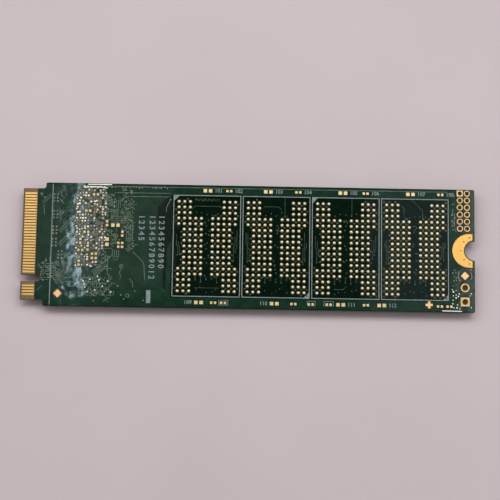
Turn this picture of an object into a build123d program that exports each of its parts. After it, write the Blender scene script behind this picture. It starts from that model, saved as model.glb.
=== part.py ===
from build123d import *
from itertools import cycle
import os

# Solid-state drive card, 22 mm by 80 mm by 0.8 mm, with a keyed edge connector and a screw notch.
# It lies component face down on its four flash packages, so the face with the empty package
# sites looks up. X runs from the connector to the screw notch, Y across the card and Z up.
# The origin is under the middle of the card, on the surface that it lies on.
# All sizes are in millimetres. "Back" is the face that looks up, "front" the one that looks down.

# Laminate board: its length is one of the standard card lengths
board_length = 80.0
board_thickness = 0.8
edge_strip = 2.0
shoulder_step = 1.075
shoulder_radius = 0.5
corner_radius = 0.3
tongue_length = 4.0
tip_bevel = 0.25

# Key slot in the connector tongue
key_offset = 6.125
key_width = 1.2
key_depth = 3.5
key_margin = 0.4

# Gold edge contacts, staggered by half a pitch from face to face
contact_pitch = 0.5
contact_width = 0.35
contact_length = 2.1
contact_tip_space = 0.08
contact_side_space = 0.5
plating_height = 0.035

# Land grid of one flash package, seen from the back, with o for a land
corner_row = "ooo.....ooo"
full_row = "ooooo.ooooo"
middle_row = ".oooo.oooo."
land_rows = 3 * [corner_row] + 2 * [full_row] + 7 * [middle_row] + 2 * [full_row] + 3 * [corner_row]
ball_pitch = 1.0
land_diameter = 0.48
land_height = 0.06
land_sides = 7

# Flash packages on the front and their empty sites on the back
flash_margin = 1.0
flash_spacing = 0.28
flash_body_height = 0.95
ball_height = 0.25

# Controller and working memory on the front
connector_zone = 2.9
controller_width = 11.0
controller_length = 13.0
controller_body_height = 0.75
memory_width = 7.5
memory_length = 13.3
memory_body_height = 0.7
package_spacing = 0.585
ball_inset = 0.6

# White print
print_height = 0.02
print_line = 0.15
print_upper_space = 0.19
pin_mark = 0.9
connector_line_inset = 1.2
connector_line_edge_space = 0.2
bar_width = 0.75
bar_length = 2.3
bar_edge_space = 0.75
bar_site_space = 3.7

# Screw notch and its ground pads, in a tail that stays clear of flash packages
tail_space = 4.5
notch_radius = 1.75
ground_space = 0.18
ground_width = 1.07
ground_shift = 0.95
ground_end_space = 0.4

# Plated header holes
header_pitch = 1.27
header_columns = 2
header_pad = 1.1
header_hole = 0.74
header_end_space = 1.32
header_edge_space = 0.69
header_ground_space = 0.9
hole_sides = 8

# Plated test holes
test_pad = 1.6
test_hole = 1.04
test_end_space = 1.74
test_edge_space = 1.88
test_spacing = 2.5
test_sides = 12

# Alignment marks
diamond_span = 1.5
diamond_edge_space = 2.21
diamond_shoulder_space = 2.57
diamond_test_space = 2.13
cross_span = 1.25
cross_arm = 0.42
cross_offset = 2.49
cross_rise = 0.25

# Empty pads for small chips: each pair is two square pads
large_pad = 0.62
large_pad_space = 0.31
small_pad = 0.42
small_pad_space = 0.26

# Where pad pairs lie along the edge strips, from the middle of each package site
upper_large_pairs = [[0.07], [-1.5], [-0.52], [-0.78]]
upper_small_pairs = [[3.85], [3.84], [3.53], [4.54]]
lower_large_pairs = [[-1.22], [-0.21], [-0.81], [-5.85]]
lower_small_pairs = [[1.35, 3.08], [3.16], [-6.06, -2.92, 3.64], [4.39, 6.07]]

# Where pad pairs lie behind the controller, from its middle
flat_small_pairs = [(0.41, 9.0), (-0.87, 6.06), (-1.08, 2.25), (-2.06, -1.02)]
flat_small_pairs += [(0.36, -1.66), (0.36, -2.42), (4.94, 0.36), (4.94, -0.34)]
flat_large_pairs = [(4.02, 3.52)]
upright_small_pairs = [(2.52, 3.85), (5.26, 2.02), (-2.09, 0.61), (-0.79, -0.58), (-2.29, -3.29)]
upright_large_pairs = [(2.61, 0.53)]

# Chips and passives on the front
row_spacing = 0.6
chip_clearance = 0.4
power_manager_size = 3.0
power_manager_height = 0.75
inductor_length = 2.5
inductor_width = 2.0
inductor_height = 1.0
inductor_corner = 0.3
bulk_length = 2.0
bulk_width = 1.25
bulk_height = 0.85
crystal_length = 2.0
crystal_width = 1.6
crystal_base_height = 0.2
crystal_lid_height = 0.3
crystal_lid_inset = 0.12
boot_length = 3.0
boot_width = 2.0
boot_height = 0.55
switch_size = 2.0
switch_height = 0.6
large_chip_length = 1.0
large_chip_width = 0.5
large_chip_height = 0.5
small_chip_length = 0.6
small_chip_width = 0.3
small_chip_height = 0.3
coupling_count = 8
coupling_pitch = 1.2
resistor_count = 5
resistor_pitch = 1.2
resistor_edge_space = 1.5
resistor_end_space = 3.8
resistor_height = 0.25
decoupling_pitch = 1.55
decoupling_space = 0.19

# Chips of the power row above the controller and of the clock row below it, from the connector on
power_widths = [inductor_length, power_manager_size] + 2 * [inductor_length] + 2 * [bulk_length]
clock_widths = [crystal_length, boot_length, switch_size] + 3 * [bulk_length]

# Sizes that follow: the card holds as many flash packages as its length has room for, and it is
# as wide as its widest zone needs, which gives four packages on a 22 mm by 80 mm card
flash_width = (len(corner_row) - 1) * ball_pitch + 2 * flash_margin
flash_length = (len(land_rows) - 1) * ball_pitch + 2 * flash_margin
flash_step = flash_width + flash_spacing
chip_row_length = max(sum(row) + len(row) * row_spacing for row in (power_widths, clock_widths))
package_zone = max(controller_width + memory_width + 2 * package_spacing, chip_row_length)
package_reach = max(controller_length, memory_length) / 2
decoupling_y = package_reach + decoupling_space + small_chip_width / 2
chip_row_floor = decoupling_y + small_chip_width / 2
chip_row_depth = max(power_manager_size, inductor_width, boot_width) + 2 * chip_clearance
flash_room = board_length - tongue_length - connector_zone - package_zone - tail_space
flash_count = int((flash_room + flash_spacing) / flash_step)
board_width = max(flash_length + 2 * edge_strip, 2 * (chip_row_floor + chip_row_depth))
tongue_width = board_width - 2 * shoulder_step
front_z = flash_body_height + ball_height
back_z = front_z + board_thickness
ground_inner = notch_radius + ground_space
ground_outer = ground_inner + ground_width

# Places that follow
tip_x = -board_length / 2
end_x = board_length / 2
edge_y = board_width / 2
shoulder_x = tip_x + tongue_length
package_x = shoulder_x + connector_zone
controller_x = package_x + controller_width / 2
memory_x = controller_x + (controller_width + memory_width) / 2 + package_spacing
flash_x = package_x + package_zone
site_centres = [flash_x + flash_width / 2 + index * flash_step for index in range(flash_count)]
edge_row_y = (flash_length / 2 + edge_y) / 2
chip_row_y = (chip_row_floor + edge_y) / 2
contact_x = tip_x + tip_bevel + contact_tip_space + contact_length / 2
test_x = end_x - test_end_space
square_test_y = test_edge_space - edge_y
round_test_y = square_test_y + test_spacing
front_face = Plane.XY.offset(front_z)
back_face = Plane.XY.offset(back_z)
sleeve_base = Plane.XY.offset(front_z - plating_height)
sleeve_height = board_thickness + 2 * plating_height

os.makedirs("parts", exist_ok=True)


def save(piece, name):
    """Label a finished sub-part and write its file."""
    piece.part.label = name
    export_step(piece.part, f"parts/{name}.step")


def row_centres(start, widths):
    """Middles of pieces of these widths, laid side by side from start."""
    centres = []
    for width in widths:
        centres.append(start + width / 2)
        start += width + row_spacing
    return centres


def strip_places(offsets, y):
    """Places in an edge strip, from lists of distances from each site's middle."""
    return [(x + offset, y) for x, near in zip(site_centres, cycle(offsets)) for offset in near]


def pair_places(middles, pad, space, upright=False):
    """Middles of the two pads of each pair."""
    reach = (pad + space) / 2
    step_x, step_y = (0, reach) if upright else (reach, 0)
    return [(x + side * step_x, y + side * step_y) for x, y in middles for side in (-1, 1)]


# Contact places: every other one is on the back, and none is near the key slot
contact_stagger = contact_pitch / 2
contact_reach = (tongue_width - contact_width) / 2 - contact_side_space
contact_steps = int(contact_reach / contact_stagger + 0.001)
contact_rows = [step * contact_stagger for step in range(-contact_steps, contact_steps + 1)]
key_reach = key_width / 2 + key_margin
front_rows = [y for y in contact_rows[::2] if abs(y + key_offset) > key_reach]
back_rows = [y for y in contact_rows[1::2] if abs(y + key_offset) > key_reach]

# Header places, from the corner down towards the ground pad
header_top_y = edge_y - header_edge_space
header_drop = header_top_y - ground_outer - header_ground_space
header_rows = int(header_drop / header_pitch + 0.001) + 1
header_first = (end_x - header_end_space - (header_columns - 1) * header_pitch, header_top_y)
header_places = [
    (header_first[0] + column * header_pitch, header_first[1] - row * header_pitch)
    for column in range(header_columns)
    for row in range(header_rows)
]

# Outlines that the board's holes and the sleeves in them share; the first header pad is square
with BuildSketch() as header_pads:
    with Locations(header_places[1:]):
        RegularPolygon(header_pad / 2, hole_sides)
    with Locations(header_first):
        Rectangle(header_pad, header_pad)

with BuildSketch() as round_test_pad:
    with Locations((test_x, round_test_y)):
        RegularPolygon(test_pad / 2, test_sides)

with BuildSketch() as square_test_pad:
    with Locations((test_x, square_test_y)):
        Rectangle(test_pad, test_pad)

# Laminate board with connector tongue, key slot, bevelled tip and half-round screw notch
with BuildPart() as circuit_board:
    with BuildSketch(front_face):
        with Locations(((shoulder_x + end_x) / 2, 0)):
            Rectangle(end_x - shoulder_x, board_width)
        fillet(vertices(), corner_radius)
        with Locations((tip_x, 0)):
            Rectangle(tongue_length, tongue_width, align=(Align.MIN, Align.CENTER))
        fillet(vertices().sort_by_distance((shoulder_x, tongue_width / 2))[0], shoulder_radius)
        fillet(vertices().sort_by_distance((shoulder_x, -tongue_width / 2))[0], shoulder_radius)
        with Locations((tip_x, -key_offset)):
            SlotOverall(2 * key_depth, key_width, mode=Mode.SUBTRACT)
        with Locations((end_x, 0)):
            Circle(notch_radius, mode=Mode.SUBTRACT)
        add(header_pads.sketch, mode=Mode.SUBTRACT)
        add(round_test_pad.sketch, mode=Mode.SUBTRACT)
        add(square_test_pad.sketch, mode=Mode.SUBTRACT)
    extrude(amount=board_thickness)
    tip_edges = edges().filter_by(Axis.Y).group_by(Axis.X)[0]
    chamfer(tip_edges, tip_bevel)
save(circuit_board, "circuit_board")

# Gold contacts on both faces of the tongue
with BuildPart() as edge_contacts_back:
    with BuildSketch(back_face):
        with Locations([(contact_x, y) for y in back_rows]):
            Rectangle(contact_length, contact_width)
    extrude(amount=plating_height)
save(edge_contacts_back, "edge_contacts_back")

with BuildPart() as edge_contacts_front:
    with BuildSketch(front_face):
        with Locations([(contact_x, y) for y in front_rows]):
            Rectangle(contact_length, contact_width)
    extrude(amount=-plating_height)
save(edge_contacts_front, "edge_contacts_front")

# One gold land, a low dome with few sides because hundreds of them repeat
with BuildPart() as land:
    with BuildSketch(back_face) as land_base:
        RegularPolygon(land_diameter / 2, land_sides)
    loft([land_base.sketch.face(), Vertex(0, 0, back_z + land_height)], ruled=True)

middle_column = (len(corner_row) - 1) / 2
middle_land_row = (len(land_rows) - 1) / 2
land_places = [
    ((column - middle_column) * ball_pitch, (middle_land_row - row) * ball_pitch)
    for row, marks in enumerate(land_rows)
    for column, mark in enumerate(marks)
    if mark == "o"
]

# Each empty package site on the back: its lands and its printed outline, which leaves the package a
# little space at its upper end. The first-ball mark is at the upper connector-side corner of the
# outline on one site and at the opposite corner on the next.
print_length = flash_length + print_upper_space
print_y = print_upper_space / 2
for index, site_x in enumerate(site_centres):
    with BuildPart() as site_lands:
        with Locations([(site_x + x, y) for x, y in land_places]):
            add(land.part)
    save(site_lands, f"flash_site_{index + 1}_lands")

    side = 1 if index % 2 == 0 else -1
    inner_width = flash_width - 2 * print_line
    inner_length = print_length - 2 * print_line
    with BuildPart() as site_print:
        with BuildSketch(back_face):
            with Locations((site_x, print_y)):
                Rectangle(flash_width, print_length)
                Rectangle(inner_width, inner_length, mode=Mode.SUBTRACT)
            with Locations((site_x - side * inner_width / 2, print_y + side * inner_length / 2)):
                Polygon((0, 0), (side * pin_mark, 0), (0, -side * pin_mark), align=None)
        extrude(amount=print_height)
    save(site_print, f"flash_site_{index + 1}_print")

# Plated sleeves that fill their holes and stand a plating's height proud of both faces
with BuildPart() as header_sleeves:
    with BuildSketch(sleeve_base):
        add(header_pads.sketch)
        with Locations(header_places):
            RegularPolygon(header_hole / 2, hole_sides, mode=Mode.SUBTRACT)
    extrude(amount=sleeve_height)
save(header_sleeves, "header_sleeves")

with BuildPart() as round_test_sleeve:
    with BuildSketch(sleeve_base):
        add(round_test_pad.sketch)
        with Locations((test_x, round_test_y)):
            RegularPolygon(test_hole / 2, test_sides, mode=Mode.SUBTRACT)
    extrude(amount=sleeve_height)
save(round_test_sleeve, "round_test_sleeve")

with BuildPart() as square_test_sleeve:
    with BuildSketch(sleeve_base):
        add(square_test_pad.sketch)
        with Locations((test_x, square_test_y)):
            RegularPolygon(test_hole / 2, test_sides, mode=Mode.SUBTRACT)
    extrude(amount=sleeve_height)
save(square_test_sleeve, "square_test_sleeve")

# Crescent ground pads round the screw notch, one on each face, widest at their middle
with BuildSketch() as ground_outline:
    with Locations((end_x - ground_shift, 0)):
        Circle(ground_outer)
        Rectangle(
            ground_shift - ground_end_space, 2 * ground_outer, align=(Align.MIN, Align.CENTER)
        )
    with Locations((end_x - ground_end_space, 0)):
        Rectangle(
            2 * ground_outer, 2 * ground_outer, align=(Align.MIN, Align.CENTER), mode=Mode.SUBTRACT
        )
    with Locations((end_x, 0)):
        Circle(ground_inner, mode=Mode.SUBTRACT)

with BuildPart() as ground_pad_back:
    with BuildSketch(back_face):
        add(ground_outline.sketch)
    extrude(amount=plating_height)
save(ground_pad_back, "ground_pad_back")

with BuildPart() as ground_pad_front:
    with BuildSketch(front_face):
        add(ground_outline.sketch)
    extrude(amount=-plating_height)
save(ground_pad_front, "ground_pad_front")

# Bare gold marks that assembly cameras look for
diamond_places = [
    (shoulder_x + diamond_shoulder_space, diamond_edge_space - edge_y),
    (test_x, round_test_y + diamond_test_space),
]
with BuildPart() as alignment_diamonds:
    with BuildSketch(back_face):
        with Locations(diamond_places):
            RegularPolygon(diamond_span / 2, 4)
    extrude(amount=plating_height)
save(alignment_diamonds, "alignment_diamonds")

with BuildPart() as alignment_cross:
    with BuildSketch(back_face):
        with Locations((site_centres[-1] + cross_offset, cross_rise - edge_row_y)):
            Rectangle(cross_span, cross_arm)
            Rectangle(cross_arm, cross_span)
    extrude(amount=plating_height)
save(alignment_cross, "alignment_cross")


def save_pads(name, large_places, small_places):
    """Square gold pads of both sizes, in one sub-part."""
    with BuildPart() as pads:
        with BuildSketch(back_face):
            with Locations(large_places):
                Rectangle(large_pad, large_pad)
            with Locations(small_places):
                Rectangle(small_pad, small_pad)
        extrude(amount=plating_height)
    save(pads, name)


# Places of the chips that the edge strips hold, empty pads on the back and fitted on the front
upper_large = strip_places(upper_large_pairs, edge_row_y)
upper_small = strip_places(upper_small_pairs, edge_row_y)
lower_large = strip_places(lower_large_pairs, -edge_row_y)
lower_small = strip_places(lower_small_pairs, -edge_row_y)
large_gap = (large_pad, large_pad_space)
small_gap = (small_pad, small_pad_space)
save_pads("upper_edge_pads", pair_places(upper_large, *large_gap), pair_places(upper_small, *small_gap))
save_pads("lower_edge_pads", pair_places(lower_large, *large_gap), pair_places(lower_small, *small_gap))


def behind_controller(offsets):
    """Places from distances from the controller's middle."""
    return [(controller_x + x, y) for x, y in offsets]


save_pads(
    "controller_pads",
    pair_places(behind_controller(flat_large_pairs), *large_gap)
    + pair_places(behind_controller(upright_large_pairs), *large_gap, upright=True),
    pair_places(behind_controller(flat_small_pairs), *small_gap)
    + pair_places(behind_controller(upright_small_pairs), *small_gap, upright=True),
)

# Printed line beside the connector and printed bar beside the first package site
bar_x = flash_x - bar_site_space - bar_width / 2
with BuildPart() as connector_line:
    with BuildSketch(back_face):
        with Locations((shoulder_x + connector_line_inset, 0)):
            Rectangle(print_line, board_width - 2 * connector_line_edge_space)
    extrude(amount=print_height)
save(connector_line, "connector_line")

with BuildPart() as printed_bar:
    with BuildSketch(back_face):
        with Locations((bar_x, bar_edge_space + bar_length / 2 - edge_y)):
            Rectangle(bar_width, bar_length)
    extrude(amount=print_height)
save(printed_bar, "printed_bar")


def save_ball_package(name, centre_x, width, length, body_height, inset):
    """Moulded package on the front, standing on its field of solder balls."""
    with BuildPart() as package:
        with BuildSketch(front_face):
            with Locations((centre_x, 0)):
                Rectangle(width - 2 * inset, length - 2 * inset)
        extrude(amount=-ball_height)
        with BuildSketch(front_face.offset(-ball_height)):
            with Locations((centre_x, 0)):
                Rectangle(width, length)
        extrude(amount=-body_height)
    save(package, name)


for index, site_x in enumerate(site_centres):
    save_ball_package(
        f"flash_package_{index + 1}", site_x, flash_width, flash_length, flash_body_height, ball_inset
    )
save_ball_package(
    "controller", controller_x, controller_width, controller_length, controller_body_height, ball_inset
)
save_ball_package(
    "working_memory", memory_x, memory_width, memory_length, memory_body_height, ball_inset
)


def save_chips(name, centres, length, width, height, corner=0):
    """Block-shaped chips on the front, with their upright corners cut if a corner is given."""
    with BuildPart() as chips:
        with BuildSketch(front_face):
            with Locations(centres):
                Rectangle(length, width)
            if corner:
                chamfer(vertices(), corner)
        extrude(amount=-height)
    save(chips, name)


# Power row above the controller and memory
power_row = [(x, chip_row_y) for x in row_centres(package_x, power_widths)]
inductor_places = [power_row[0], power_row[2], power_row[3]]
save_chips("power_manager", power_row[1:2], power_manager_size, power_manager_size, power_manager_height)
for index, place in enumerate(inductor_places):
    save_chips(
        f"power_inductor_{index + 1}", [place], inductor_length, inductor_width, inductor_height,
        inductor_corner,
    )

# Clock and start-up row below them
clock_row = [(x, -chip_row_y) for x in row_centres(package_x, clock_widths)]
with BuildPart() as clock_crystal:
    with BuildSketch(front_face):
        with Locations(clock_row[0]):
            Rectangle(crystal_length, crystal_width)
    extrude(amount=-crystal_base_height)
    with BuildSketch(front_face.offset(-crystal_base_height)):
        with Locations(clock_row[0]):
            Rectangle(crystal_length - 2 * crystal_lid_inset, crystal_width - 2 * crystal_lid_inset)
    extrude(amount=-crystal_lid_height)
save(clock_crystal, "clock_crystal")
save_chips("boot_memory", clock_row[1:2], boot_length, boot_width, boot_height)
save_chips("load_switch", clock_row[2:3], switch_size, switch_size, switch_height)
save_chips("bulk_capacitors", power_row[4:] + clock_row[3:], bulk_length, bulk_width, bulk_height)

# Small chips: in the edge strips, beside the connector and at the tail
save_chips(
    "edge_capacitors_large", upper_large + lower_large,
    large_chip_length, large_chip_width, large_chip_height,
)
save_chips(
    "edge_capacitors_small", upper_small + lower_small,
    small_chip_length, small_chip_width, small_chip_height,
)
coupling_x = shoulder_x + connector_zone / 2
coupling_first_y = (coupling_count - 1) * coupling_pitch / 2
coupling_places = [(coupling_x, coupling_first_y - index * coupling_pitch) for index in range(coupling_count)]
save_chips(
    "coupling_capacitors", coupling_places, small_chip_length, small_chip_width, small_chip_height
)
resistor_first_y = resistor_edge_space - edge_y
resistor_x = end_x - resistor_end_space
resistor_places = [(resistor_x, resistor_first_y + index * resistor_pitch) for index in range(resistor_count)]
save_chips("chip_resistors", resistor_places, small_chip_length, small_chip_width, resistor_height)
decoupling_count = int(package_zone / decoupling_pitch)
decoupling_places = [
    (package_x + (index + 0.5) * decoupling_pitch, side * decoupling_y)
    for index in range(decoupling_count)
    for side in (-1, 1)
]
save_chips(
    "decoupling_capacitors", decoupling_places, small_chip_length, small_chip_width, small_chip_height
)
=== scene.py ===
import math
import random
from functools import cache

import bmesh
import bpy
from bpy.props import FloatProperty, FloatVectorProperty, PointerProperty
from mathutils import Matrix, Vector
from mathutils.geometry import delaunay_2d_cdt


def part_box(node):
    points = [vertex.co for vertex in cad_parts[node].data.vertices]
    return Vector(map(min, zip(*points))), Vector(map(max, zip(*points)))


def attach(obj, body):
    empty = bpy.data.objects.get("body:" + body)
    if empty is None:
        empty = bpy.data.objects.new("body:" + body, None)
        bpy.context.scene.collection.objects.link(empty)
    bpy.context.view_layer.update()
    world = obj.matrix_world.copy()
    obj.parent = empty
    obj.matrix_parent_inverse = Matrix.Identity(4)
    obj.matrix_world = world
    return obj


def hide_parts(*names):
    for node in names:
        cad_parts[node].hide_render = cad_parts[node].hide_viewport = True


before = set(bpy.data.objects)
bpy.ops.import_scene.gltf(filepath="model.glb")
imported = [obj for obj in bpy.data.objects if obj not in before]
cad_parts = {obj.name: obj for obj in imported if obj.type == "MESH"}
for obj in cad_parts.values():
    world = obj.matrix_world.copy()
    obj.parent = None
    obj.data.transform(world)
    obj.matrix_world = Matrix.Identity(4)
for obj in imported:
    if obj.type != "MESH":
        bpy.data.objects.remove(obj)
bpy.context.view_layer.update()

bl_info = {
    "name": "Drive card",
    "version": (1, 0, 0),
    "blender": (4, 5, 0),
    "location": "3D View > Sidebar > Drive card",
    "description": "Dresses a packed solid-state drive card in its real finishes",
    "category": "Object",
}

# The script works in metres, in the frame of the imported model
MM = 0.001
MERGE_DISTANCE = 0.0002 * MM
SMOOTH_ANGLE = math.radians(40)

# Heights of the two faces of the board, its two ends and its side, the sites of the flash packages, and the
# nodes of the plated holes
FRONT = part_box("circuit_board")[0].z
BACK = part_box("circuit_board")[1].z
TIP_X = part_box("circuit_board")[0].x
END_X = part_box("circuit_board")[1].x
EDGE_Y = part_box("circuit_board")[1].y
SITES = range(1, 5)
SITE_BOXES = [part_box(f"flash_site_{site}_print") for site in SITES]
SLEEVES = ("header_sleeves", "round_test_sleeve", "square_test_sleeve")

# From here to the fine print, places are in millimetres from the middle of the card, on its back. First the
# copper areas under the mask, the moats that part them, and the dense copper of the via field with the x
# where it ends
COPPER_AREAS = [
    (-37.4, -10.85, -13.7, 10.85), (-13.7, 9.25, 35.6, 10.85), (-13.7, -10.85, 35.6, -9.15),
    (35.6, -10.85, 39.85, 10.85),
]
MOATS = [
    [(-13.6, 9.0), (-14.15, 8.9), (-16.2, 6.85), (-16.2, 5.2), (-15.9, 0.9), (-15.1, -0.6), (-15.1, -7.4),
     (-14.5, -8.0), (-14.45, -0.6), (-13.6, 1.0)],
]
DENSE_COPPER = [
    (-31.0, -3.2), (-30.4, -4.0), (-28.2, -4.3), (-26.8, -3.7), (-26.0, -1.2), (-25.2, 1.2), (-24.9, 4.6),
    (-25.0, 9.2), (-25.4, 10.1), (-30.2, 10.1), (-31.0, 7.0), (-30.7, 2.0),
]
DENSE_END = -25.2

# Tracks under the mask: pairs and single ones behind the contacts, round the controller and along the edges,
# rings with their radius, bundles from start to end, and those of each flash site from its middle
CONNECTOR_PAIRS = [
    ((-33.4, 2.2), (-31.3, 4.6)), ((-33.45, -0.15), (-31.3, 2.2)), ((-33.5, 5.25), (-32.75, 6.1)),
    ((-33.4, 8.1), (-32.95, 7.35)), ((-36.5, 7.4), (-35.1, 8.8)),
]
CONNECTOR_TRACKS = [
    [(-36.3, 7.0), (-36.2, 5.2)],
    [(-32.9, -2.9), (-31.3, -1.3)],
    [(-32.7, 9.9), (-33.3, 9.4), (-33.3, 8.7), (-32.9, 8.5)],
    [(-35.6, -4.0), (-34.8, -5.1), (-33.7, -5.5), (-32.9, -6.7)],
    [(-35.2, -3.9), (-34.4, -4.9), (-33.4, -5.3), (-32.6, -6.4)],
    [(-34.8, -3.8), (-34.0, -4.8), (-33.1, -5.1), (-32.3, -6.1)],
]
CONTROLLER_TRACKS = [
    [(-25.2, 5.3), (-25.2, 8.0), (-23.7, 9.4), (-14.0, 9.4)],
    [(-22.4, 8.1), (-21.7, 8.75), (-14.0, 8.75)],
    [(-26.3, 1.4), (-26.3, -1.1)],
    [(-23.9, -1.7), (-24.8, -2.6), (-24.8, -5.4)],
    [(-22.6, -3.6), (-22.3, -4.2), (-22.7, -4.9), (-22.4, -5.6), (-22.6, -6.2)],
    [(-26.6, -5.5), (-25.3, -4.2)],
    [(-32.5, -5.95), (-26.8, -5.9)],
    [(-32.5, -6.7), (-27.0, -6.65)],
    [(-20.4, -1.2), (-18.7, -2.8), (-18.4, -3.4), (-18.2, -6.2)],
    [(-13.95, 8.3), (-14.65, 6.9), (-14.65, 6.0)],
]
EDGE_TRACKS = [
    [(-26.6, 10.5), (35.2, 10.5)],
    [(-31.9, -7.0), (-31.5, -7.5), (-30.6, -7.5)],
    [(-25.4, -10.1), (-24.8, -9.5), (-24.2, -9.5)],
    [(-20.9, -6.0), (-20.3, -6.6), (-20.3, -7.5)],
    [(-37.0, -3.6), (-36.4, -4.5)],
    [(-36.6, -5.4), (-36.0, -6.7)],
    [(-34.3, -6.2), (-33.6, -7.1)],
    [(-33.9, -2.9), (-33.2, -3.7)],
    [(-37.1, 9.1), (-36.5, 8.5)],
    [(-37.0, -8.2), (-36.2, -7.4)],
]
RING_TRACKS = [
    (-26.7, -7.1, 0.62), (-27.0, -8.6, 0.5), (-23.9, -8.6, 0.36), (-28.9, -7.3, 0.45),
    (-23.4, -2.4, 0.32), (-22.4, -3.8, 0.3), (-32.5, -3.4, 0.3), (-21.2, -9.0, 0.3),
]
TRACK_BUNDLES = [
    (-23.9, 6.6, -23.9, 8.1), (-22.9, -0.9, -22.9, -2.2), (-21.6, 1.0, -21.6, 3.4),
    (-24.4, 5.1, -21.0, 5.1), (-27.6, -4.9, -26.2, -3.5),
]
SITE_TRACKS = [
    [[(-2.7, 6.7), (-2.1, 7.2), (2.3, 7.2), (2.8, 6.7)], [(-2.0, -7.4), (2.3, -7.4)]],
    [[(1.5, 9.0), (1.5, 5.6)], [(-2.2, 7.3), (0.4, 7.3), (0.9, 6.8)]],
    [[(1.1, 9.0), (1.1, 5.7)], [(-2.0, -7.3), (-0.4, -7.3), (0.2, -6.7)]],
    [[(-0.6, 9.0), (1.4, 7.0), (1.4, 5.4)], [(-2.4, 7.9), (-1.9, 7.4), (-1.9, 6.2)]],
]

# Slivers of near-white plating at the edges: painted highlight of the light that the routed edges catch
GLINT_SLIVERS = [
    [(-29.3, 10.2), (-28.2, 10.38), (-26.6, 10.38), (-25.2, 10.2)],
    [(-28.6, 10.8), (-24.4, 10.82)],
    [(34.2, -10.76), (37.7, -10.8)],
]

# Vias: middles of the groups behind the contacts, single masked ones, and single open ones in painted glint
CONNECTOR_VIAS = [(-34.2, 8.3), (-34.2, 5.3), (-34.25, 2.5), (-34.3, 0.3), (-33.2, -1.9), (-32.2, -4.0)]
LOOSE_VIAS = [
    (-27.1, -10.0), (-22.3, -8.9), (-21.8, -9.6), (-19.9, -8.2), (-25.2, -6.9), (-31.2, -8.6),
    (-13.95, 8.3), (-24.7, -10.1), (-29.6, -9.2), (-18.4, -9.8), (-22.9, -7.3), (-25.4, -8.9),
    (-36.2, -3.4), (-35.6, -2.9), (-35.0, -4.4), (-34.5, -3.4), (-34.0, -4.2), (-33.6, -3.7),
    (-33.3, -5.7), (-32.8, -4.9), (-36.1, -4.7), (-35.4, -5.4), (-34.6, -5.9), (-36.7, 9.0), (-36.2, 8.3),
]
OPEN_VIAS = [
    (-27.7, -3.9), (-28.8, -7.1), (-28.7, -7.6), (-26.5, -5.7), (-26.9, -8.1), (-24.7, -6.5),
    (-28.2, -8.4), (-27.8, -6.2), (-25.6, -7.4), (-24.1, -8.4), (-29.0, -6.5), (-26.2, -6.3),
]

# The field of vias behind the controller: its first via, pitch, columns, rows and scatter
VIA_FIELD = (-30.4, -3.7)
VIA_PITCH = 0.5
VIA_COLUMNS = 21
VIA_ROWS = 28
VIA_SCATTER = 0.1

# Areas crowded with short tracks: x and y of the first, columns and rows
CROWDED_AREAS = [(-25.0, -0.6, 13, 25), (-28.8, -9.0, 14, 9), (-36.4, -6.4, 9, 10), (-26.7, -4.6, 6, 12)]
CROWDED_PITCH = 0.36

# Seeds of the draws that scatter the copper
COPPER_SEED = 7
CROWDED_SEED = 11

# Fine print: boxes, lines, columns of turned digits with the y of their first and their pitch, and the first
# of the labels beside the pads
PRINTED_BOXES = [(-5.16, -10.42, -3.47, -9.5), (10.41, -10.3, 11.88, -9.42), (13.32, -10.3, 15.08, -9.4)]
PRINTED_LINES = [[(36.45, 6.7), (36.45, 4.0), (36.8, 3.3)]]
LAYER_NUMBERS = [(-19.0, "12345"), (-17.1, "123456789012"), (-15.47, "1234567890")]
LAYER_TOP = 5.1
LAYER_PITCH = 0.98
FIRST_LABEL = 101

# Rounding of the corners of square pads, in metres
PAD_CORNER = 0.08 * MM

# Refraction of cured epoxy, which glaze, ceramic and paint come near
EPOXY_IOR = 1.5

# A wave texture of scale 1 has a band every so many metres
WAVE_BAND = 0.31


def linear(code):
    """Linear red, green and blue of an sRGB hex value."""
    parts = [int(code[place:place + 2], 16) / 255 for place in (1, 3, 5)]
    return [part / 12.92 if part <= 0.04045 else ((part + 0.055) / 1.055) ** 2.4 for part in parts]


def length(name, description, millimetres):
    """A length that a user can change."""
    return FloatProperty(
        name=name, description=description, default=millimetres * MM, unit="LENGTH", precision=6
    )


def colour(name, description, code):
    """A colour that a user can change."""
    return FloatVectorProperty(
        name=name, description=description, default=linear(code), subtype="COLOR", size=3, min=0, max=1
    )


def power(name, description, watts):
    """The power of a lamp that a user can change."""
    return FloatProperty(
        name=name, description=description, default=watts, min=0, unit="POWER", precision=4
    )


class CardSizes(bpy.types.PropertyGroup):
    """Sizes of the fine detail on the card."""

    mask_height: length("Mask", "Thickness of the solder mask on bare laminate", 0.008)
    copper_height: length("Masked copper", "Height of a masked copper area above the laminate", 0.012)
    dense_height: length("Dense copper", "Height of masked dense copper above the laminate", 0.01)
    mask_space: length("Mask opening", "Bare ring that the mask leaves round a pad", 0.12)
    copper_space: length("Copper clearance", "Ring without copper round a pad", 0.22)
    track_width: length("Track", "Width of a signal track", 0.13)
    track_height: length("Track height", "Height of a masked track above the laminate", 0.018)
    via_width: length("Via", "Width of a masked via", 0.46)
    via_bore: length("Via hole", "Width of the dark hole in a masked via", 0.18)
    via_height: length("Via height", "Height of a masked via above the laminate", 0.03)
    via_space: length("Via clearance", "Ring without copper round a via", 0.22)
    plating_edge: length("Plating edge", "Rounding of the upper edge of gold pads", 0.012)
    ground_bore: length("Ground via", "Width of the small vias in the ground pads", 0.26)
    ground_reach: length("Ground via reach", "Distance of these vias from the middle of the notch", 2.5)
    mould_edge: length("Mould edge", "Rounding of the edges of moulded packages", 0.06)
    ball_height: length("Ball height", "Height of the solder balls under a package", 0.25)
    fine_print_line: length("Fine print", "Line width of the fine print", 0.07)
    digit_height: length("Digits", "Height of the small printed numbers", 0.95)


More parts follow.
